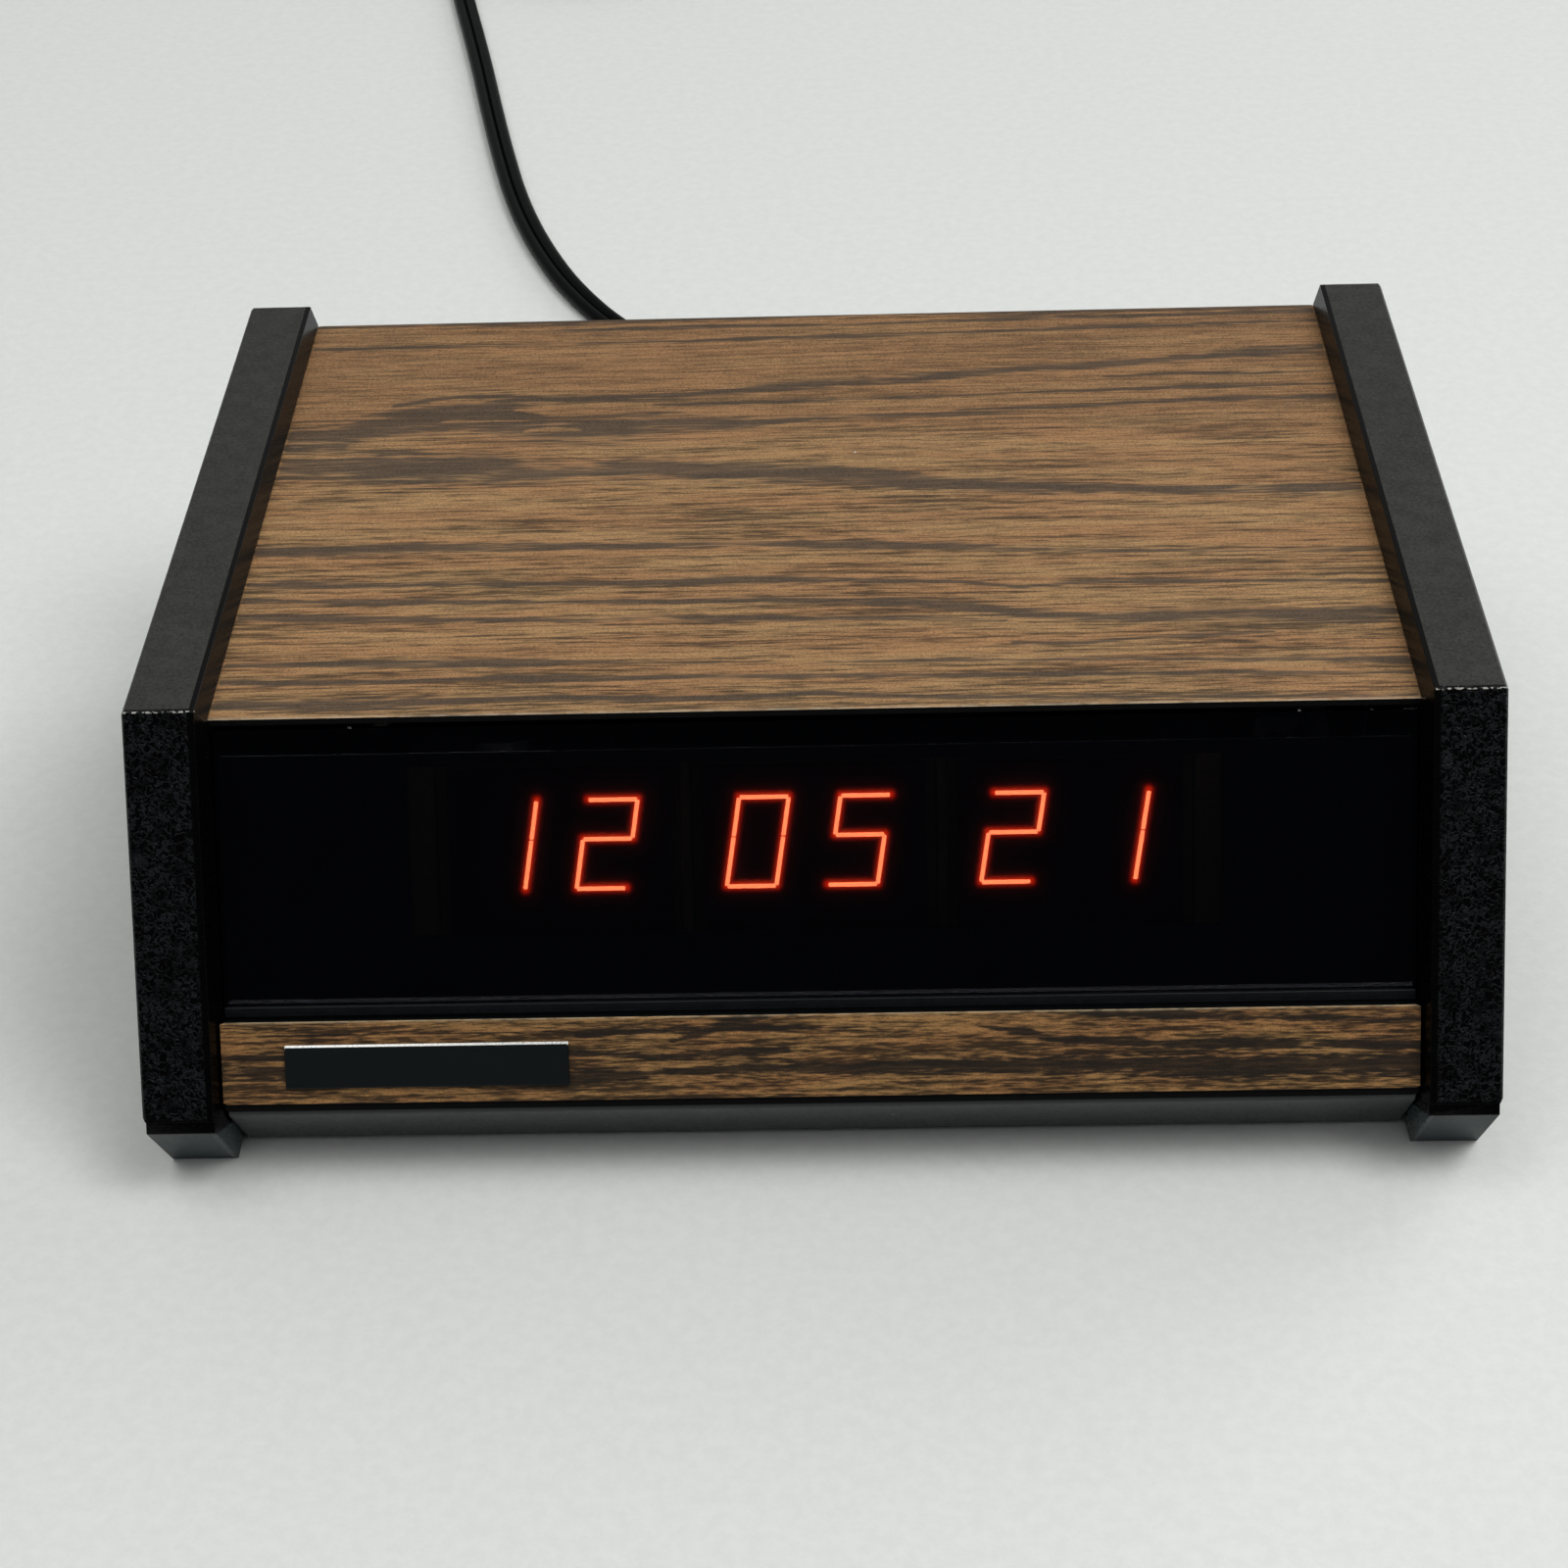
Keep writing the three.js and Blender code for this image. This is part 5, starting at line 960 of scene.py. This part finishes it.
    def plug(self):
        """A moulded plug: superellipse sections whose width and height swell from nose to face."""
        low, high = in_mm(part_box("plug_body"))
        half_widths = [(0, 4.4), (0.16, 4.4), (0.3, 7.8), (0.44, 11.2), (0.6, 10.6), (0.78, 8.6),
                       (0.9, 11.2), (1, 11.3)]
        half_heights = [(0, 3.0), (0.16, 3.0), (0.3, 4.4), (0.44, 5.5), (0.78, 4.3), (0.9, 5.5), (1, 5.6)]
        power = 0.55
        share = np.linspace(0, 1, 81)
        softening = np.hanning(11)[1:-1] / np.hanning(11).sum()
        rounding = np.interp(share, [0, 0.0125, 0.025, 0.975, 0.9875, 1], [0.8, 0.95, 1, 1, 0.98, 0.93])
        swells = (np.pad(np.interp(share, *np.array(swell).T), 4, mode="edge")
                  for swell in (half_widths, half_heights))
        wide, tall = ((rounding * np.convolve(swell, softening, "valid"))[:, None] for swell in swells)
        angle = full_turn(48)
        cosine, sine = (np.sign(wave) * np.abs(wave) ** power for wave in (np.cos(angle), np.sin(angle)))
        rings = np.stack([low[0] + share[:, None] * (high[0] - low[0]) + 0 * angle,
                          (low[1] + high[1]) / 2 + wide * cosine, COIL_Z + COIL_LAYER + tall * sine], -1)
        return piece("lead_plug", rings, tube_faces(len(share), len(angle)), "lead",
                     stands_for=("plug_body",), slot="lead_sheath")


class CLOCK_OT_case(bpy.types.Operator):
    """Finish the end panels, the pan, the rear panel and their screws"""

    bl_idname = "clock.case"
    bl_label = "Case"

    def execute(self, context):
        sizes = context.scene.clock_sizes
        for side in ("left", "right"):
            dressed(side + "_end_panel", "panel", sizes.panel_edge, 3)
            painted("plated", side + "_end_screw_front", side + "_end_screw_rear")
        dressed("base_pan", "sheet", sizes.metal_edge)
        dressed("rear_panel", "sheet", sizes.metal_edge)
        return {"FINISHED"}


class CLOCK_OT_cover(bpy.types.Operator):
    """Make the wood-grain cover: a thin sheet with rolled edges and its figure in an attribute"""

    bl_idname = "clock.cover"
    bl_label = "Cover"

    def execute(self, context):
        low, high = in_mm(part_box("top_cover"))
        radius, corner, edge_shine = context.scene.clock_sizes.cover_edge / MM, 2.6, 0.35
        x = np.linspace(low[0], high[0], 241)
        past = np.clip(np.abs(x) - (high[0] - corner), 0, corner)
        back = high[1] - (corner - np.sqrt(corner**2 - past**2))

        # Down the front edge, over the top and down the rear edge
        turn = quarter_turn(5)
        over = np.linspace(low[1] + radius, high[1] - radius, 225)[1:-1]
        y = np.concatenate([[low[1]], low[1] + radius - radius * np.cos(turn), over,
                            high[1] - radius + radius * np.sin(turn), [high[1]]])
        z = np.concatenate([[low[2]], high[2] - radius + radius * np.sin(turn), np.full(len(over), high[2]),
                            high[2] - radius + radius * np.cos(turn), [low[2]]])

        # The rear edge follows the rounded corners, and the rows before it draw in with it
        share = (y - low[1]) / (high[1] - low[1])
        grid_y = low[1] + share[None, :] * (back - low[1])[:, None]
        grid_x, grid_z = np.broadcast_to(x[:, None], grid_y.shape), np.broadcast_to(z, grid_y.shape)
        figure = band_field(COVER_BANDS, grid_x, grid_y)
        figure = np.clip(figure - 1.2 * band_field(COVER_SLIVERS, grid_x, grid_y), 0, 1)
        # The front edge carries a painted highlight
        edge = np.clip(1 - (grid_y - low[1]) / edge_shine, 0, 1)
        piece("cover_sheet", np.stack([grid_x, grid_y, grid_z], -1), tube_faces(len(x), len(y)),
              ["cover", "cut"], stands_for=("top_cover",), slot="wood_clad_sheet",
              fields={"figure": figure, "edge": edge},
              chosen=cut_faces(z < high[2] - radius * 0.6, len(x)))
        return {"FINISHED"}


class CLOCK_OT_front(bpy.types.Operator):
    """Make the lens, the sill, the wood-grain strip and the bare nameplate"""

    bl_idname = "clock.front"
    bl_label = "Front"

    def execute(self, context):
        sizes = context.scene.clock_sizes
        self.lens()
        dressed("lens_sill", "sill", sizes.metal_edge, 2)
        dressed("display_shield", "shield", sizes.metal_edge, 1)
        self.strip()
        self.nameplate()
        return {"FINISHED"}

    def lens(self):
        """The lens: a flat plate whose front steps back by a hair above its sight line, carried along X."""
        low, high = in_mm(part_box("front_lens"))
        recess, down = np.array([(5.2, 42.3), (7.2, 42.3), (7.2, 3.4),
                                 (5.26, 3.4), (5.26, 7.0), (5.2, 7.03)]).T
        points = on_face(np.array([low[0], high[0]])[:, None], recess, down)
        piece("lens", points, tube_faces(2, len(down)), "lens", stands_for=("front_lens",),
              slot="smoked_lens", sharp=1.0)

    def strip(self):
        """The strip: rounded outline rows down the face, carried along X, figure from its bands."""
        low, high = in_mm(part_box("front_trim_strip"))
        radius, thick, top, bottom, recess, shadow_tongue = 0.15, 0.8, 44.4, 56.3, 2.6, 1.05
        corner, edge_shine, draft = 0.2, 0.3, 0.3
        x = np.linspace(low[0], high[0], 281)

        # From the back of the top edge, down the front, past the cladding to a bare tongue of painted shadow
        turn = quarter_turn(4)
        front = np.linspace(top + radius, bottom - radius, 51)[1:-1]
        down = np.concatenate([[top], top + radius - radius * np.cos(turn), front,
                               bottom - radius + radius * np.sin(turn),
                               [bottom, bottom + shadow_tongue, bottom + shadow_tongue]])
        inward = np.concatenate([[recess + thick], recess + radius - radius * np.sin(turn),
                                 np.full(len(front), recess), recess + radius - radius * np.cos(turn),
                                 recess + thick * np.array([0.45, 0.5, 1])])

        # Rounded at its ends, and narrower at its back
        past = np.clip(np.abs(x) - (high[0] - corner), 0, corner)
        drawn = corner - np.sqrt(np.maximum(corner**2 - past**2, 0))
        middle, half = (top + bottom) / 2, (bottom - top) / 2
        grid_down = middle + (down - middle)[None, :] * ((half - drawn) / half)[:, None]
        narrowed = 1 - draft / high[0] * (inward - recess) / thick
        points = on_face(x[:, None] * narrowed[None, :], inward[None, :], grid_down)
        figure = band_field(STRIP_BANDS, np.broadcast_to(x[:, None], grid_down.shape), grid_down)
        # The top edge carries a painted highlight
        edge = np.clip(1 - (grid_down - top) / edge_shine, 0, 1)
        piece("trim_strip", points, tube_faces(len(x), len(down)), ["strip", "cut"],
              stands_for=("front_trim_strip",), slot="wood_clad_sheet",
              fields={"figure": figure, "edge": edge},
              chosen=cut_faces(inward > recess + radius * 0.9, len(x)))

    def nameplate(self):
        """A bare plate: nested rounded rectangles, from its back over a bevel to its dark face, with a
        painted highlight on top.
        """
        low, high = in_mm(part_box("nameplate"))
        top, tall, back, thick, bevel = 47.7, 6.2, 2.3, 0.5, 0.2
        face = back - thick
        rings = face_rings((low[0] + high[0]) / 2, (high[0] - low[0]) / 2, top, top + tall, 0.2,
                           ((0, 0, back), (0, 0, face + bevel), (0.088, 0.22, face), (0.112, 0.28, face)))
        rows, count = rings.shape[:2]
        # The first half of each ring runs along the plate's upper edge, painted bright as a highlight
        upper = np.arange(count) < count / 2
        chosen = np.concatenate([np.tile(upper & np.roll(upper, -1), rows - 1), [False, False]])
        piece("nameplate_bare", rings, tube_faces(rows, count), ["plate", "highlight_edge"],
              stands_for=("nameplate",), slot="dark_plate", chosen=chosen)


class CLOCK_OT_display(bpy.types.Operator):
    """Make the three two-digit tubes, their segments and their glow, and finish what carries them"""

    bl_idname = "clock.display"
    bl_label = "Display"

    def execute(self, context):
        for name in ("hours", "minutes", "seconds"):
            self.tube(name, context.scene.clock_sizes)
            painted("plastic", name + "_tube_socket")
        painted("board", "display_board")
        painted("plastic", "left_display_bracket", "right_display_bracket")
        return {"FINISHED"}

    def ends(self, right, width):
        """Each segment's two ends, as x and down; the digit leans by nine degrees about its top."""
        top, middle, bottom = 14.7, 20.3, 27.4
        lean = math.tan(math.radians(9))
        place = {}
        for row, down in (("t", top), ("m", middle), ("b", bottom)):
            x = right - (down - top) * lean
            place["r" + row], place["l" + row] = np.array([x, down]), np.array([x - width, down])
        pairs = {"a": ("lt", "rt"), "b": ("rt", "rm"), "c": ("rm", "rb"), "d": ("lb", "rb"),
                 "e": ("lm", "lb"), "f": ("lt", "lm"), "g": ("lm", "rm")}
        return {key: (place[start], place[end]) for key, (start, end) in pairs.items()}

    def stroke(self, start, end, sizes):
        """A flattened bar: ellipses along the stroke, smaller over its last tenth of a millimetre."""
        recess, gap = 10.7, 0.1
        way = (end - start) / np.linalg.norm(end - start)
        start, end = start + way * gap, end - way * gap
        half, deep = sizes.stroke_width / MM / 2, sizes.stroke_depth / MM / 2
        taper = np.array([0, 0.03, 0.1])
        along = np.concatenate([taper, np.linalg.norm(end - start) - taper[::-1]])[:, None]
        size = np.array([0.7, 0.92, 1, 1, 0.92, 0.7])[:, None]
        angle = full_turn(12)
        middle = (start + way * along)[:, None]
        flat = middle + (size * half * np.cos(angle))[..., None] * np.array([-way[1], way[0]])
        points = on_face(flat[..., 0], recess + size * deep * np.sin(angle), flat[..., 1])
        return points, tube_faces(len(along), len(angle))

    def tube(self, name, sizes):
        """One tube: its lit segments, its front glass, and its back with the glow on it."""
        low, high = in_mm(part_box(name + "_tube"))
        middle, half = (low[0] + high[0]) / 2, (high[0] - low[0]) / 2
        lit = [ends for tube, digit, right in DIGITS if tube == name
               for key, ends in self.ends(right, sizes.digit_width / MM).items() if key in SEGMENTS[digit]]
        piece(name + "_lit", *joined(*(self.stroke(*ends, sizes) for ends in lit)), "lit")
        rings = face_rings(middle, half, TUBE_TOP, TUBE_BOTTOM, 0.8,
                           ((0.25, 0.25, 9.2), (0, 0, 9.45), (0, 0, 10.0), (0.2, 0.2, 10.2)))
        piece(name + "_glass", rings, tube_faces(*rings.shape[:2]), "glass")
        self.back(name, middle, half, lit)

    def back(self, name, middle, half, lit):
        """A plate with the glow on its front: the light falls off with distance from each lit stroke."""
        margin, front_recess, back_recess = 1.5, 11.2, 13.8
        x = np.linspace(middle - half + margin, middle + half - margin, 160)
        down = np.linspace(TUBE_TOP + margin, TUBE_BOTTOM, 120)
        grid_x, grid_down = np.meshgrid(x, down, indexing="ij")
        near = np.full(grid_x.shape, 1e3)
        for start, end in lit:
            way = end - start
            share = ((grid_x - start[0]) * way[0] + (grid_down - start[1]) * way[1]) / (way @ way)
            share = np.clip(share, 0, 1)
            near = np.minimum(near, np.hypot(grid_x - start[0] - share * way[0],
                                             grid_down - start[1] - share * way[1]))
        glow = 0.6 * np.exp(-(near / 0.52) ** 2) + 0.026 * np.exp(-near / 0.7) + 0.0014 * np.exp(-near / 2.5)

        # A grid of points in front, four corners behind, and a face along each side
        rows, columns = grid_x.shape
        front = on_face(grid_x, front_recess, grid_down)
        behind = on_face(grid_x[[0, -1]][:, [0, -1]], back_recess, grid_down[[0, -1]][:, [0, -1]])
        numbers = np.arange(rows * columns).reshape(rows, columns)
        rims = numbers[0], numbers[:, -1], numbers[-1, ::-1], numbers[::-1, 0]
        corners = (rows * columns + np.array([0, 1, 3, 2])).tolist()
        faces = quads(rows, columns, wrap=False).tolist()
        faces += [[*rim.tolist(), corners[(side + 1) % 4], corners[side]] for side, rim in enumerate(rims)]
        faces.append(corners)
        points = np.vstack([front.reshape(-1, 3), behind.reshape(-1, 3)])
        piece(name + "_back", points, faces, "halo", stands_for=(name + "_tube",), slot="tube_glass",
              fields={"glow": np.concatenate([glow.ravel(), np.zeros(len(corners))])})


class CLOCK_OT_inside(bpy.types.Operator):
    """Finish the boards, the transformer and the speaker"""

    bl_idname = "clock.inside"
    bl_label = "Inside"

    def execute(self, context):
        painted("board", "main_board")
        painted("plated", *(f"board_spacer_{index}" for index in range(1, 5)), "transformer_strap",
                "speaker_basket")
        painted("plastic", "chip_socket", "clock_chip")
        painted("can", "filter_capacitor", "coupling_capacitor")
        painted("core", "transformer_core", "speaker_magnet")
        painted("winding", "transformer_winding")
        painted("cone", "speaker_cone")
        return {"FINISHED"}


class CLOCK_OT_controls(bpy.types.Operator):
    """Make the buttons on the rear panel and finish the slide switches"""

    bl_idname = "clock.controls"
    bl_label = "Rear controls"

    def execute(self, context):
        sizes = context.scene.clock_sizes
        stem, head, bevel, rounding, dome = 2.9, 2.6, 0.2, 0.6, 0.25
        for name in ("fast_set", "slow_set", "alarm_set", "snooze"):
            low, high = in_mm(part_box(name + "_button"))
            middle = [(low[0] + high[0]) / 2, 0, (low[2] + high[2]) / 2]
            tip, radius = high[1], (high[0] - low[0]) / 2
            turn = quarter_turn(6)
            rim = np.stack([radius - rounding + rounding * np.cos(turn),
                            tip - dome - rounding + rounding * np.sin(turn)], -1)
            profile = [(stem, low[1]), (stem, tip - head), (radius - bevel, tip - head),
                       (radius, tip - head + bevel), *rim.tolist(), (radius / 2, tip - 0.08), (0.05, tip)]
            points, faces = revolved(profile, middle)
            piece(name + "_cap", points, faces, "button", body=name, stands_for=(name + "_button",),
                  slot="button_plastic")
            dressed(name + "_switch_body", "plated", sizes.metal_edge, 2)
        for name in ("alarm", "format"):
            dressed(name + "_switch_case", "plated", sizes.metal_edge, 1)
            dressed(name + "_switch_knob", "button", sizes.metal_edge, 2)
        return {"FINISHED"}


class CLOCK_PT_clock(bpy.types.Panel):
    """The clock's pieces, sizes and colours"""

    bl_idname = "CLOCK_PT_clock"
    bl_label = "Shelf alarm clock"
    bl_space_type = "VIEW_3D"
    bl_region_type = "UI"
    bl_category = "Clock"

    def draw(self, context):
        for operator in OPERATORS:
            self.layout.operator(operator.bl_idname)
        for group_of_values in (context.scene.clock_sizes, context.scene.clock_colours):
            box = self.layout.box()
            for title in group_of_values.__annotations__:
                box.prop(group_of_values, title)


OPERATORS = (CLOCK_OT_finishes, CLOCK_OT_stage, CLOCK_OT_lead, CLOCK_OT_case, CLOCK_OT_cover,
             CLOCK_OT_front, CLOCK_OT_display, CLOCK_OT_inside, CLOCK_OT_controls)
CLASSES = (ClockSizes, ClockColours, *OPERATORS, CLOCK_PT_clock)


def register():
    """Makes the classes known to Blender, and their values part of each scene."""
    for each in CLASSES:
        bpy.utils.register_class(each)
    bpy.types.Scene.clock_sizes = PointerProperty(type=ClockSizes)
    bpy.types.Scene.clock_colours = PointerProperty(type=ClockColours)


def unregister():
    """Takes back what register did."""
    del bpy.types.Scene.clock_sizes
    del bpy.types.Scene.clock_colours
    for each in reversed(CLASSES):
        bpy.utils.unregister_class(each)


def main():
    """Registers the classes and makes every piece in order."""
    register()
    bpy.ops.clock.finishes()
    bpy.ops.clock.stage()
    bpy.ops.clock.lead()
    bpy.ops.clock.case()
    bpy.ops.clock.cover()
    bpy.ops.clock.front()
    bpy.ops.clock.display()
    bpy.ops.clock.inside()
    bpy.ops.clock.controls()


if __name__ == "__main__":
    main()
